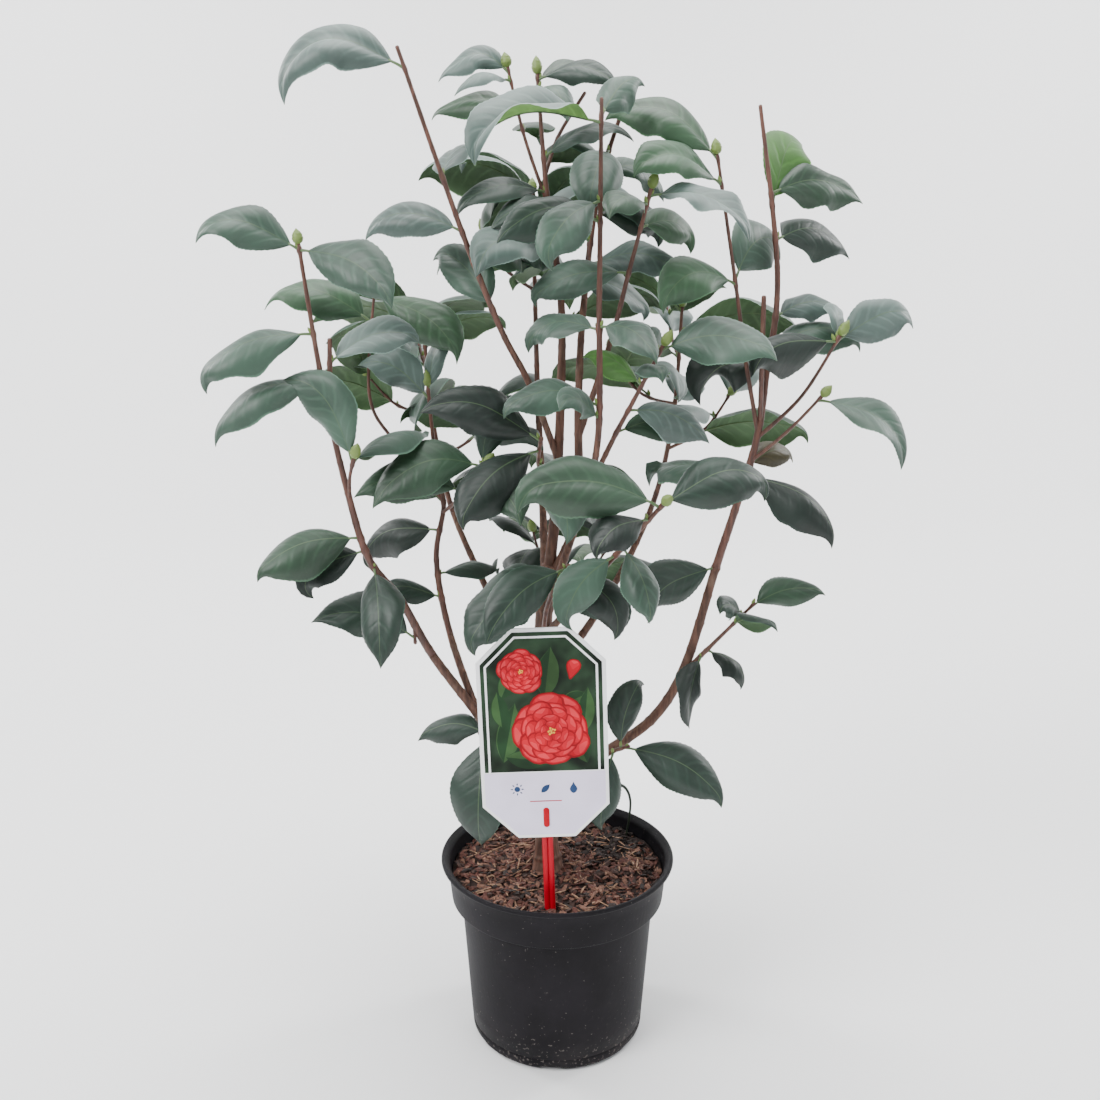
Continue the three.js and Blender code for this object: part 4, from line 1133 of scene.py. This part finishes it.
def arch_height(turn, radius):
    """How high the drainage arches reach at a place round the pot's foot."""
    if radius <= POT["notch_inner"]:
        return 0
    spacing = 2 * math.pi / POT["notches"]
    front = -math.pi / 2 + math.radians(POT["first_notch"])
    nearest = (turn - front + spacing / 2) % spacing - spacing / 2
    across = radius * math.sin(nearest) / (POT["notch_width"] / 2)
    return POT["notch_height"] * math.sqrt(max(1 - across * across, 0))


def uneven_radius(radius, turn, height):
    """The pot's radius with the slight unevenness of thin plastic. Its middle stays as it is."""
    if radius <= 1:
        return radius
    bulge = noise.noise(Vector((*polar(1, turn), height / POT_BULGES["length"])))
    return radius + POT_BULGES["depth"] * bulge


def add_pot(piece):
    rows = []
    for radius, height in pot_profile():
        arched = height < POT["floor"] and radius < POT["base"] + POT["chamfer"] + 1
        row = []
        for turn in turns_round(POT_SIDES):
            z = max(height, arch_height(turn, radius)) if arched else height
            row.append(Vector((*polar(uneven_radius(radius, turn, height), turn), z)))
        rows.append(row)
    piece.grid(rows, closed=True)


SOIL = {
    "radius": 86.4, "relief": 2.6, "drop": 2.6, "mound": 2.5, "mound_reach": 30, "ring_gap": 1.5,
    "sides": 120, "depth": 18, "bumps": (17, 6), "dark_patch": (48, 36), "dark_patch_reach": 30, "seed": 77,
}
CHIPS = {
    "count": 2900, "margin": 2.5, "length": (2.2, 12), "width": (0.35, 0.95), "widest": 5.5,
    "thickness": (0.8, 2), "rise": 2.2, "tilt": 28,
}
STRAWS = {
    "count": 170, "margin": 12, "length": (5, 19), "width": (0.7, 2.1), "thickness": 0.8, "rise": 2.4,
    "tilt": 14,
}
CHIP_KINDS = ("soil_chips_dark", "soil_chips_red", "soil_chips_brown", "soil_chips_tan")
CHIP_CORNERS = (0.3, 1.5, 2.7, 3.9, 5.3)  # their turns round the chip, in radians
# A chip has four rings. Their fullness is drawn from these ranges, apart from the full second ring's.
CHIP_FULLNESS = ((0.25, 0.8), (0.7, 1), (0.15, 0.7))


def soil_height(x, y):
    """The compost's surface, a little mounded round the trunk."""
    broad, fine = SOIL["bumps"]
    bumps = noise.noise(Vector((x / broad, y / broad, 0)))
    bumps += 0.5 * noise.noise(Vector((x / fine, y / fine, 3)))
    from_trunk = math.hypot(x - TRUNK["path"][0][0], y - TRUNK["path"][0][1])
    mound = SOIL["mound"] * hump(from_trunk, SOIL["mound_reach"])
    return SOIL_LEVEL - SOIL["drop"] + SOIL["relief"] * bumps + mound


def add_soil_bed(piece):
    gap = SOIL["ring_gap"]
    rows = []
    for radius in [gap * i for i in range(1, int(SOIL["radius"] / gap))] + [SOIL["radius"]]:
        places = [polar(radius, turn) for turn in turns_round(SOIL["sides"])]
        rows.append([Vector((x, y, soil_height(x, y))) for x, y in places])
    rows.append([Vector((p.x * 0.97, p.y * 0.97, SOIL_LEVEL - SOIL["depth"])) for p in rows[-1]])
    first = piece.grid(rows, closed=True)
    piece.cap(first, SOIL["sides"], flip=True)


def add_chip(piece, random, centre, length, width, thickness, tilt):
    """A torn chip of bark: a flat, tapering, slightly bent bar with uneven ends."""
    along = direction(next(random) * 360, spread(random, tilt))
    flat = square_to(UP + Vector((spread(random, 0.5), spread(random, 0.5), 0)), along)
    across = along.cross(flat)
    bend = spread(random, 0.12) * length
    fullness = [lerp(*ends, next(random)) for ends in CHIP_FULLNESS]
    fullness.insert(1, 1)
    rings = []
    for k, full in enumerate(fullness):
        share = k / 3 - 0.5
        middle = centre + along * (share * length) + flat * (bend * (0.25 - share * share))
        ring = []
        for turn in CHIP_CORNERS:
            wide = width / 2 * full * lerp(0.75, 1.15, next(random))
            thick = thickness / 2 * lerp(0.7, 1.2, next(random))
            ring.append(middle + across * (wide * math.cos(turn)) + flat * (thick * math.sin(turn)))
        rings.append(ring)
    piece.tube(rings)


def soil_place(random, margin):
    """A place drawn anywhere on the compost: its distance from the middle, its x and its y."""
    radius = (SOIL["radius"] - margin) * math.sqrt(next(random))
    return (radius, *polar(radius, next(random) * 2 * math.pi))


def chip_kind(random, x, y):
    """A chip's kind. Most chips are of any kind, the others are red, and within a patch at the back right all
    are dark.
    """
    kind = min(int(next(random) * 4.6), 3) if next(random) < 0.75 else 1
    from_dark_patch = math.hypot(x - SOIL["dark_patch"][0], y - SOIL["dark_patch"][1])
    in_dark_patch = from_dark_patch < SOIL["dark_patch_reach"] * lerp(0.4, 1.2, next(random))
    return CHIP_KINDS[0 if in_dark_patch else kind]


def add_chips(pieces):
    """The chips and, on top of them, the straws."""
    random = seeded(SOIL["seed"])
    for _ in range(CHIPS["count"]):
        radius, x, y = soil_place(random, CHIPS["margin"])
        length = lerp(*CHIPS["length"], next(random) ** 2.4)
        width = min(length * lerp(*CHIPS["width"], next(random)), CHIPS["widest"])
        centre = Vector((x, y, soil_height(x, y) + next(random) * CHIPS["rise"]))
        length = min(length, 2 * (SOIL["radius"] - radius) + 2)
        piece = pieces[chip_kind(random, x, y)]
        thickness = lerp(*CHIPS["thickness"], next(random))
        add_chip(piece, random, centre, length, width, thickness, CHIPS["tilt"])
    for _ in range(STRAWS["count"]):
        _, x, y = soil_place(random, STRAWS["margin"])
        centre = Vector((x, y, soil_height(x, y) + STRAWS["rise"]))
        length = lerp(*STRAWS["length"], next(random) ** 2)
        width = lerp(*STRAWS["width"], next(random))
        add_chip(pieces["soil_straw"], random, centre, length, width, STRAWS["thickness"], STRAWS["tilt"])


# A thin green stalk that curls over the compost behind the label, from its foot to its end.
CURLED_STALK = {
    "path": [(60, 54, 140), (62.5, 50, 160), (63, 50, 177), (58, 50, 188.5), (47, 49, 193), (42, 48, 190)],
    "radius": (0.7, 1.5), "sides": 7,
}


def add_curled_stalk(piece):
    line = smooth_line(vectors(CURLED_STALK["path"]), LIMB_STEP)
    piece.tube(Limb(line, CURLED_STALK["radius"]).rings(CURLED_STALK["sides"]))


# ---------------------------------------------------------------- label and stick

PRINT_STEP = 0.05  # how far a whole layer of print stands on the one below
SHAPE_LAYER = 0.1  # from one printed petal or leaf to the next, in layers
TONE_LAYER = 0.02  # from one tone of a petal to the next, in layers
LABEL_FRONT = -LABEL["thickness"]
LABEL_EDGE = 0.3
PICTURE_FOOT = 54
PICTURE_INSET = 3
FRAME_INSET = 6
FRAME_WIDTH = 1.6
PANEL_INSET = 2.4
PANEL_GAP = 0.8

# Printed shapes, as (share of the length, share of the half width).
PETAL = (
    (0, 0.12), (0.2, 0.42), (0.42, 0.78), (0.62, 0.98), (0.78, 0.95), (0.9, 0.7), (0.97, 0.4), (0.98, 0.15),
)
DROP = ((0, 0.1), (0.1, 0.6), (0.28, 0.95), (0.42, 1), (0.6, 0.72), (0.8, 0.32), (1, 0.02))
# Flowers on the label: centre, reach of the petals and first bearing.
FLOWERS = (((-15, 133), 18, 40), ((6, 86), 30, 10))
# A flower's tiers of petals, outermost first: number, reach and width as shares, and turn.
TIERS = ((8, 1, 0.86, 0), (8, 0.84, 0.74, 22), (7, 0.66, 0.6, 8), (6, 0.46, 0.46, 30), (5, 0.3, 0.32, 12))
# The tones of a petal, each over the one before: the share of its width, where it starts and ends.
PETAL_TONES = (
    ("dark", 1, 0, 1), ("mid", 0.86, 0.08, 0.97), ("light", 0.68, 0.5, 0.94), ("pale", 0.46, 0.76, 0.92),
)
STAMENS = {"count": 9, "reach": 0.1, "radius": 0.028, "sides": 8}
PRINTED_LEAVES = (
    ((-30, 62), 78, 48, 18), ((32, 60), 112, 50, 20), ((14, 106), 24, 22, 13), ((-30, 112), 66, 32, 14),
    ((2, 112), 82, 40, 17), ((-30, 90), 96, 28, 13), ((30, 84), 84, 36, 13), ((-28, 66), -8, 34, 15),
)
PRINTED_BUD = ((21, 126), 74, 16, 11)
SIGNS = {"height": 40, "apart": 21, "size": 4.4, "rays": 8}
RULE_LINE = {"height": 29.5, "width": 24, "thickness": 0.8}


def at_label(x, y, z):
    """A place on the label, with x and z across and up its face and y behind it."""
    lean = math.radians(LABEL["lean"])
    cos, sin = math.cos(lean), math.sin(lean)
    return Vector(LABEL["foot"]) + Vector((x * cos - z * sin, y, x * sin + z * cos))


def label_outline(inset):
    """The label's outline with its corners cut, moved in on every side."""
    half = LABEL["width"] / 2 - inset
    top = LABEL["height"] - inset
    corner = LABEL["corner"] - inset * (2 - math.sqrt(2))
    return [
        (-half + corner, inset), (half - corner, inset), (half, inset + corner), (half, top - corner),
        (half - corner, top), (-half + corner, top), (-half, top - corner), (-half, inset + corner),
    ]


def picture_outline(inset):
    """The label's outline above the picture's foot, from the right of the foot round to its left."""
    half = LABEL["width"] / 2 - inset
    upper = [corner for corner in label_outline(inset) if corner[1] > PICTURE_FOOT]
    return [(half, PICTURE_FOOT)] + upper + [(-half, PICTURE_FOOT)]


def panel_outline(inset):
    """The label's outline below the picture's foot."""
    half = LABEL["width"] / 2 - inset
    top = PICTURE_FOOT - PANEL_GAP
    corners = label_outline(inset)
    return corners[:3] + [(half, top), (-half, top), corners[-1]]


def add_plate(piece):
    """The label's plate, with softened edges."""
    edge = LABEL_EDGE
    rows = []
    for inset, depth in ((edge, LABEL_FRONT), (0, LABEL_FRONT + edge), (0, -edge), (edge, 0)):
        rows.append([at_label(x, depth, z) for x, z in label_outline(inset)[::-1]])
    piece.tube(rows)


def add_print(piece, outline, layer):
    """A flat printed shape. Its outline runs counter-clockwise as seen from the front."""
    depth = LABEL_FRONT - PRINT_STEP * layer
    first = len(piece.points)
    piece.points += [at_label(x, depth, z) for x, z in outline]
    piece.uvs += [(0, 0)] * len(outline)
    piece.faces.append(list(range(first, first + len(outline))))


def placed_outline(shape, root, bearing):
    """A shape in the label's plane, moved to its root and turned to its bearing."""
    cos, sin = math.cos(math.radians(bearing)), math.sin(math.radians(bearing))
    return [(root[0] + a * cos - b * sin, root[1] + a * sin + b * cos) for a, b in shape]


def shape_outline(table, root, bearing, length, width):
    """The outline of a printed petal or leaf that leaves its root at a bearing."""
    right = [(share * length, -width / 2 * wide) for share, wide in table]
    left = [(share * length, width / 2 * wide) for share, wide in table[::-1]]
    return placed_outline(right + left, root, bearing)


def disc_outline(centre, radius, sides):
    places = [polar(radius, turn) for turn in turns_round(sides)]
    return [(centre[0] + x, centre[1] + y) for x, y in places]


def add_petal(pieces, root, bearing, length, width, layer):
    """A petal in tones that lighten towards its end."""
    for step, (tone, share, start, end) in enumerate(PETAL_TONES):
        (place,) = placed_outline([(start * length, 0)], root, bearing)
        outline = shape_outline(PETAL, place, bearing, length * (end - start), width * share)
        add_print(pieces[f"label_petals_{tone}"], outline, layer + TONE_LAYER * step)


def add_flower(pieces, random, centre, reach, first, layer):
    """A full bloom of several tiers of petals round a tuft of stamens. Returns the next free layer."""
    for count, far, wide, turn in TIERS:
        for k in range(count):
            bearing = first + turn + 360 * k / count + spread(random, 7)
            length = reach * far * lerp(0.9, 1.04, next(random))
            width = reach * wide * lerp(0.9, 1.1, next(random))
            add_petal(pieces, centre, bearing, length, width, layer)
            layer += SHAPE_LAYER
    for k in range(STAMENS["count"]):
        far = reach * STAMENS["reach"] * math.sqrt(k / STAMENS["count"])
        (dot,) = placed_outline([(far, 0)], centre, k * RULE["twig_turn"])
        disc = disc_outline(dot, reach * STAMENS["radius"], STAMENS["sides"])
        add_print(pieces["label_centres"], disc, layer + SHAPE_LAYER / 2)
    return layer + SHAPE_LAYER


def add_printed_leaf(pieces, number, root, bearing, length, width, layer):
    """A leaf with one half darker than the other."""
    tones = ("label_leaves_light", "label_leaves_dark")
    whole = shape_outline(OUTLINE, root, bearing, length, width)
    add_print(pieces[tones[number % 2]], whole, layer)
    half = [(share * length, width / 2.2 * wide) for share, wide in OUTLINE[::-1]]
    outline = placed_outline([(length, 0)] + half, root, bearing)
    add_print(pieces[tones[1 - number % 2]], outline, layer + SHAPE_LAYER / 2)


def add_signs(pieces):
    """Three plain signs, a sun, a leaf and a drop, over a thin rule."""
    size, height, piece = SIGNS["size"], SIGNS["height"], pieces["label_signs"]
    sun = (-SIGNS["apart"], height)
    add_print(piece, disc_outline(sun, size * 0.5, 20), 2)
    for k in range(SIGNS["rays"]):
        bearing = 360 * k / SIGNS["rays"]
        (root,) = placed_outline([(0.7 * size, 0)], sun, bearing)
        add_print(piece, shape_outline(DROP, root, bearing, size * 0.5, size * 0.24), 2)
    add_print(piece, shape_outline(OUTLINE, (-size * 0.7, height - size * 0.7), 45, size * 2.1, size), 2)
    add_print(piece, shape_outline(DROP, (SIGNS["apart"], height - size), 90, size * 2.1, size * 1.3), 2)
    half, thick, low = RULE_LINE["width"] / 2, RULE_LINE["thickness"], RULE_LINE["height"]
    bar = [(-half, low), (half, low), (half, low + thick), (-half, low + thick)]
    add_print(pieces["label_petals_mid"], bar, 2)


def add_label(pieces):
    add_plate(pieces["label_plate"])
    add_print(pieces["label_picture"], picture_outline(PICTURE_INSET), 1)
    add_print(pieces["label_panel"], panel_outline(PANEL_INSET), 1)
    random = seeded(SOIL["seed"])
    layer = 2
    for number, leaf in enumerate(PRINTED_LEAVES):
        add_printed_leaf(pieces, number, *leaf, layer)
        layer += SHAPE_LAYER
    add_petal(pieces, *PRINTED_BUD, layer)
    for centre, reach, first in FLOWERS:
        layer = add_flower(pieces, random, centre, reach, first, layer + SHAPE_LAYER)
    add_frame_line(pieces["label_plate"], layer + 2 * SHAPE_LAYER)
    add_signs(pieces)
    add_slot(pieces["label_slot"])


def add_frame_line(piece, layer):
    """The thin white line round the picture, open at its foot."""
    outer = picture_outline(FRAME_INSET)
    inner = picture_outline(FRAME_INSET + FRAME_WIDTH)
    for i in range(len(outer) - 1):
        add_print(piece, [outer[i], outer[i + 1], inner[i + 1], inner[i]], layer)


SLOT = {"height": 16, "width": 4.6, "at": 16.5, "rise": 0.9, "sides": 28}
SLOT_RINGS = ((1, -0.2), (1, 0.4), (0.86, 0.75), (0.5, 1))  # shares of the half width and of the rise


def add_slot(piece):
    """The end of the stick's hook, which shows through the label as a low red oval."""
    straight = (SLOT["height"] - SLOT["width"]) / 2
    rings = []
    for share, rise in SLOT_RINGS:
        ring = []
        for turn in turns_round(SLOT["sides"]):
            x, z = polar(SLOT["width"] / 2 * share, turn)
            end = SLOT["at"] + math.copysign(straight, math.sin(turn))
            ring.append(at_label(x, LABEL_FRONT - SLOT["rise"] * rise, end + z))
        rings.append(ring)
    piece.tube(rings)


RIDGE_STEPS = 8  # steps over each round ridge of the stick
STICK_STEPS = 40


def add_stick(piece):
    """The stick: two round ridges with a groove between them."""
    half, thick = STICK["width"] / 2, STICK["thickness"]
    section = []
    for centre in (-half / 2, half / 2):
        for k in range(RIDGE_STEPS + 1):
            turn = math.pi + math.pi * k / RIDGE_STEPS
            section.append((centre + half / 2 * math.cos(turn), thick * 0.55 + thick * 0.5 * math.sin(turn)))
    section += [(half - 0.2, thick - 0.1), (-half + 0.2, thick - 0.1)]
    bottom = SOIL_LEVEL - STICK["buried"] - LABEL["foot"][2]
    rows = []
    for k in range(STICK_STEPS + 1):
        z = bottom + (STICK["behind_label"] - bottom) * k / STICK_STEPS
        rows.append([at_label(x, CLEARANCE + y, z) for x, y in section])
    piece.tube(rows)


# ---------------------------------------------------------------- studio


CAMERA = {"place": (-6, -865, 630), "pitch": 14.2, "lens": 37.96, "sensor": 36}
# The rest of the studio is in metres.
FLOOR = {"front": -4.0, "bend": 1.9, "bend_radius": 1.1, "height": 5.0, "half_width": 5.0}
FLOOR_COLOUR = (0.86, 0.86, 0.86)
BEND_STEPS = 12
PLANT_MIDDLE = (0, 0, 0.42)
BACKDROP_MIDDLE = (0, 3.0, 0.8)
# Each lamp: its place, what it points at, its size and its power in watts.
LAMPS = {
    "key": ((-1.5, -1.2, 1.9), PLANT_MIDDLE, 1.4, 66),
    "fill": ((1.7, -1.5, 1.1), PLANT_MIDDLE, 1.6, 14),
    "over": ((0.1, 0.2, 2.4), PLANT_MIDDLE, 2.0, 74),
    "left_of_backdrop": ((-2.2, 1.2, 1.8), BACKDROP_MIDDLE, 1.2, 85),
    "right_of_backdrop": ((2.2, 1.2, 1.8), BACKDROP_MIDDLE, 1.2, 85),
}
AIR = {"Color": (0.93, 0.96, 1, 1), "Strength": 0.5}


def add_studio():
    """A pale floor that curves up into a backdrop behind the plant."""
    bend, radius = FLOOR["bend"], FLOOR["bend_radius"]
    profile = [(FLOOR["front"], 0.0), (bend, 0.0)]
    for k in range(1, BEND_STEPS + 1):
        turn = math.pi / 2 * k / BEND_STEPS
        profile.append((bend + radius * math.sin(turn), radius * (1 - math.cos(turn))))
    profile.append((bend + radius, FLOOR["height"]))
    points = [(x, y, z) for x in (-FLOOR["half_width"], FLOOR["half_width"]) for y, z in profile]
    count = len(profile)
    faces = [(count + k, count + k + 1, k + 1, k) for k in range(count - 1)]
    mesh = bpy.data.meshes.new("studio_floor")
    mesh.from_pydata(points, [], faces)
    mesh.polygons.foreach_set("use_smooth", [True] * len(mesh.polygons))
    mesh.materials.append(Paint("studio_paper", FLOOR_COLOUR, 0.9).material)
    floor = bpy.data.objects.new("studio_floor", mesh)
    bpy.context.scene.collection.objects.link(floor)


def add_lights():
    for name, (place, target, size, power) in LAMPS.items():
        data = bpy.data.lights.new(name, "AREA")
        data.shape = "DISK"
        data.size = size
        data.energy = power
        lamp = bpy.data.objects.new(name, data)
        lamp.location = place
        lamp.rotation_euler = (Vector(target) - Vector(place)).to_track_quat("-Z", "Y").to_euler()
        bpy.context.scene.collection.objects.link(lamp)
    world = bpy.data.worlds.new("studio_air")
    world.use_nodes = True
    for socket, value in AIR.items():
        world.node_tree.nodes["Background"].inputs[socket].default_value = value
    bpy.context.scene.world = world


def add_camera():
    data = bpy.data.cameras.new("camera")
    data.lens = CAMERA["lens"]
    data.sensor_width = CAMERA["sensor"]
    camera = bpy.data.objects.new("camera", data)
    camera.location = Vector(CAMERA["place"]) * MM
    camera.rotation_euler = (math.radians(90 - CAMERA["pitch"]), 0, 0)
    bpy.context.scene.collection.objects.link(camera)
    bpy.context.scene.camera = camera


# ---------------------------------------------------------------- the scene

# Leaf tones: base colour of the upper side and of the underside, and the upper side's sheen.
# Besides the leaves' own shades of green, the tones paint light and shade: dark and deep are painted shade,
# grey is a painted sky reflection on the blade, and bright is painted light shining through a leaf.
TONES = {
    "dark": ((0.007, 0.0145, 0.0105), (0.036, 0.074, 0.03), 0.03),
    "deep": ((0.0125, 0.028, 0.0185), (0.05, 0.1, 0.042), 0.08),
    "green": ((0.02, 0.047, 0.025), (0.058, 0.112, 0.047), 0.12),
    "grey": ((0.064, 0.099, 0.085), (0.085, 0.14, 0.072), 0.4),
    "mid": ((0.034, 0.068, 0.046), (0.068, 0.124, 0.054), 0.24),
    "fresh": ((0.03, 0.073, 0.034), (0.075, 0.16, 0.045), 0.16),
    "bright": ((0.046, 0.13, 0.023), (0.12, 0.25, 0.058), 0.03),
    "brown": ((0.05, 0.04, 0.013), (0.08, 0.068, 0.026), 0.02),
}
# Low sprays get darker tones as painted shade, and high ones paler tones as painted light.
# Sprays are dealt tones by their height: the lowest, and from each height up.
SPRAY_TONES = (
    (0, ("dark", "deep", "deep")), (440, ("deep", "green", "dark", "mid")),
    (545, ("mid", "grey", "mid", "grey")), (650, ("grey", "green", "fresh", "mid", "deep")),
)
# Leaves with a tone of their own, by twig and number.
# Of these, dark is painted shade on rolled leaves, grey a painted sky reflection and bright painted light
# shining through.
OWN_TONES = {
    "dark": (("right_top_leaves", 5), ("right_top_leaves", 7), ("right_top_leaves_2", 0)),
    "deep": (
        ("left_outer_leaves", 6), ("right_front_leaves", 1), ("low_front_leaves", 0),
        ("low_front_leaves", 2), ("centre_top_leaves", 1),
    ),
    "green": (
        ("right_top_leaves", 0), ("left_outer_leaves", 4), ("left_inner_leaves_1", 0),
        ("left_inner_leaves_1", 1), ("right_front_leaves", 0), ("centre_top_leaves", 0),
    ),
    "grey": (("front_leaves", 0), ("top_left_leaves", 0), ("right_centre_leaves", 1)),
    "fresh": (("centre_top_leaves_0", 2),),
    "bright": (("right_top_leaves", 1), ("right_mid_leaves", 3)),
    "brown": (("right_top_leaves", 6),),
}
# The front leaf's underside is bright: painted light shining through it.
UNDERSIDE_TONES = {("front_leaves", 0): "bright"}
LEAVES_PER_TONE = 3  # how many leaves in a row share a tone
# A leaf out to either side is dealt the paler tones of painted light, as if it stood higher.
SUNNY_SIDE = 0.5  # how much a leaf's place to either side counts as height

SOIL_COLOURS = {
    "soil_chips_dark": (0.018, 0.009, 0.007), "soil_chips_red": (0.09, 0.029, 0.02),
    "soil_chips_brown": (0.046, 0.02, 0.014), "soil_chips_tan": (0.16, 0.074, 0.048),
    "soil_straw": (0.27, 0.155, 0.095),
}
# The label's pieces: their colours and how uneven these are.
LABEL_LOOKS = {
    "label_plate": ((0.92, 0.92, 0.93), 0.03),
    "label_picture": ((0.014, 0.03, 0.015), 0.8),
    "label_panel": ((0.78, 0.72, 0.9), 0.04),
    "label_leaves_dark": ((0.012, 0.038, 0.014), 0.4),
    "label_leaves_light": ((0.034, 0.08, 0.026), 0.4),
    "label_petals_dark": ((0.24, 0.001, 0.006), 0.15),
    "label_petals_mid": ((0.42, 0.002, 0.012), 0.15),
    "label_petals_light": ((0.52, 0.008, 0.022), 0.15),
    "label_petals_pale": ((0.62, 0.03, 0.045), 0.15),
    "label_centres": ((0.75, 0.42, 0.06), 0.15),
    "label_signs": ((0.022, 0.05, 0.13), 0.1),
    "label_slot": ((0.42, 0.001, 0.012), 0.1),
}


def tone_of(leaf, turn):
    """A leaf's tone: its own, or its spray's. Every few leaves of a spray differ a little."""
    for tone, leaves in OWN_TONES.items():
        if leaf["key"] in leaves:
            return tone
    # Higher and outer leaves get paler tones as painted light, lower ones darker tones as painted shade.
    height = leaf["root"].z + SUNNY_SIDE * abs(leaf["root"].x)
    tones = [tones for lowest, tones in SPRAY_TONES if height >= lowest][-1]
    return tones[(turn + leaf["key"][1] // LEAVES_PER_TONE) % len(tones)]


def show_bark(leaders, masses):
    bark, twigs = Piece(), Piece()
    add_limbs(bark, twigs, leaders, masses)
    bark_nodes = [name for leader in LEADERS for name in leader[4] if name not in MASSES] + ["trunk"]
    old_bark = bark_material("old_bark", (0.115, 0.052, 0.034), (0.17, 0.1, 0.07), 0.7)
    young_bark = bark_material("young_bark", (0.1, 0.039, 0.026), (0.13, 0.062, 0.042), 0.5)
    bark.show("bark_of_trunk_and_boughs", old_bark, "bark", bark_nodes)
    twigs.show("twigs", young_bark, "bark")


def show_leaves(masses):
    """The blades, by tone, with their ribs and stalks, and the buds."""
    ribs, buds = Piece(), Piece()
    tops = {tone: Piece() for tone in TONES}
    undersides = {tone: Piece() for tone in TONES}
    for mass in masses:
        random = seeded(sum(map(ord, mass["name"])))
        turns = {twig["name"]: int(next(random) * 100) for twig in mass["twigs"]}
        for leaf in mass["placed"]:
            tone = tone_of(leaf, turns[leaf["key"][0]])
            under = UNDERSIDE_TONES.get(leaf["key"], tone)
            add_blade(Blade(leaf, random), tops[tone], undersides[under], ribs)
        add_buds(buds, mass, random)
    for tone, (upper, lower, sheen) in TONES.items():
        material = leaf_material(f"leaf_top_{tone}", upper, 0.47, -0.42, sheen)
        replaced = list(MASSES) if tone == "deep" else ()
        tops[tone].show(f"leaf_tops_{tone}", material, "leaves", replaced)
        material = leaf_material(f"leaf_underside_{tone}", lower, 0.6, 0.6, 0.05)
        undersides[tone].show(f"leaf_undersides_{tone}", material, "leaves")
    ribs.show("leaf_ribs_and_stalks", plain_material("leaf_rib", (0.085, 0.14, 0.055), 0.45), "leaves")
    buds.show("buds", plain_material("bud_scale", (0.15, 0.22, 0.05), 0.5), "leaves")


def show_pot():
    pot = Piece()
    add_pot(pot)
    pot.show("pot_shell", pot_material(), "pot", ["pot"])


def show_soil():
    bed, stalk = Piece(), Piece()
    add_soil_bed(bed)
    crumbs = plain_material("soil_crumbs", (0.026, 0.012, 0.009), 0.95, relief=0.0015, scale=260)
    bed.show("soil_bed", crumbs, "soil", ["soil"])
    pieces = {name: Piece() for name in SOIL_COLOURS}
    add_chips(pieces)
    for name, colour in SOIL_COLOURS.items():
        material = bark_material(f"{name}_bark", colour, shade(colour, 1.3), 0.85)
        pieces[name].show(name, material, "soil", smooth_shaded=False)
    add_curled_stalk(stalk)
    stalk.show("curled_stalk", plain_material("green_stalk", (0.02, 0.034, 0.02), 0.5), "leaves")


def show_label():
    pieces = {name: Piece() for name in LABEL_LOOKS}
    add_label(pieces)
    for name, (colour, unevenness) in LABEL_LOOKS.items():
        is_slot = name == "label_slot"
        replaced = ["label"] if name == "label_plate" else ()
        material = plain_material(
            f"{name}_card", colour, 0.4, relief=0.00003, unevenness=unevenness, specular=0.15)
        pieces[name].show(name, material, "stick" if is_slot else "label", replaced, smooth_shaded=is_slot)


def show_stick():
    stick = Piece()
    add_stick(stick)
    red = plain_material("red_plastic", (0.42, 0.001, 0.014), 0.35, relief=0.00004, specular=0.2)
    stick.show("stick_ridges", red, "stick", ["label_stick"])


add_camera()
add_studio()
add_lights()
show_pot()
show_soil()
show_label()
show_stick()
leaders, masses = grow_plant()
show_bark(leaders, masses)
show_leaves(masses)
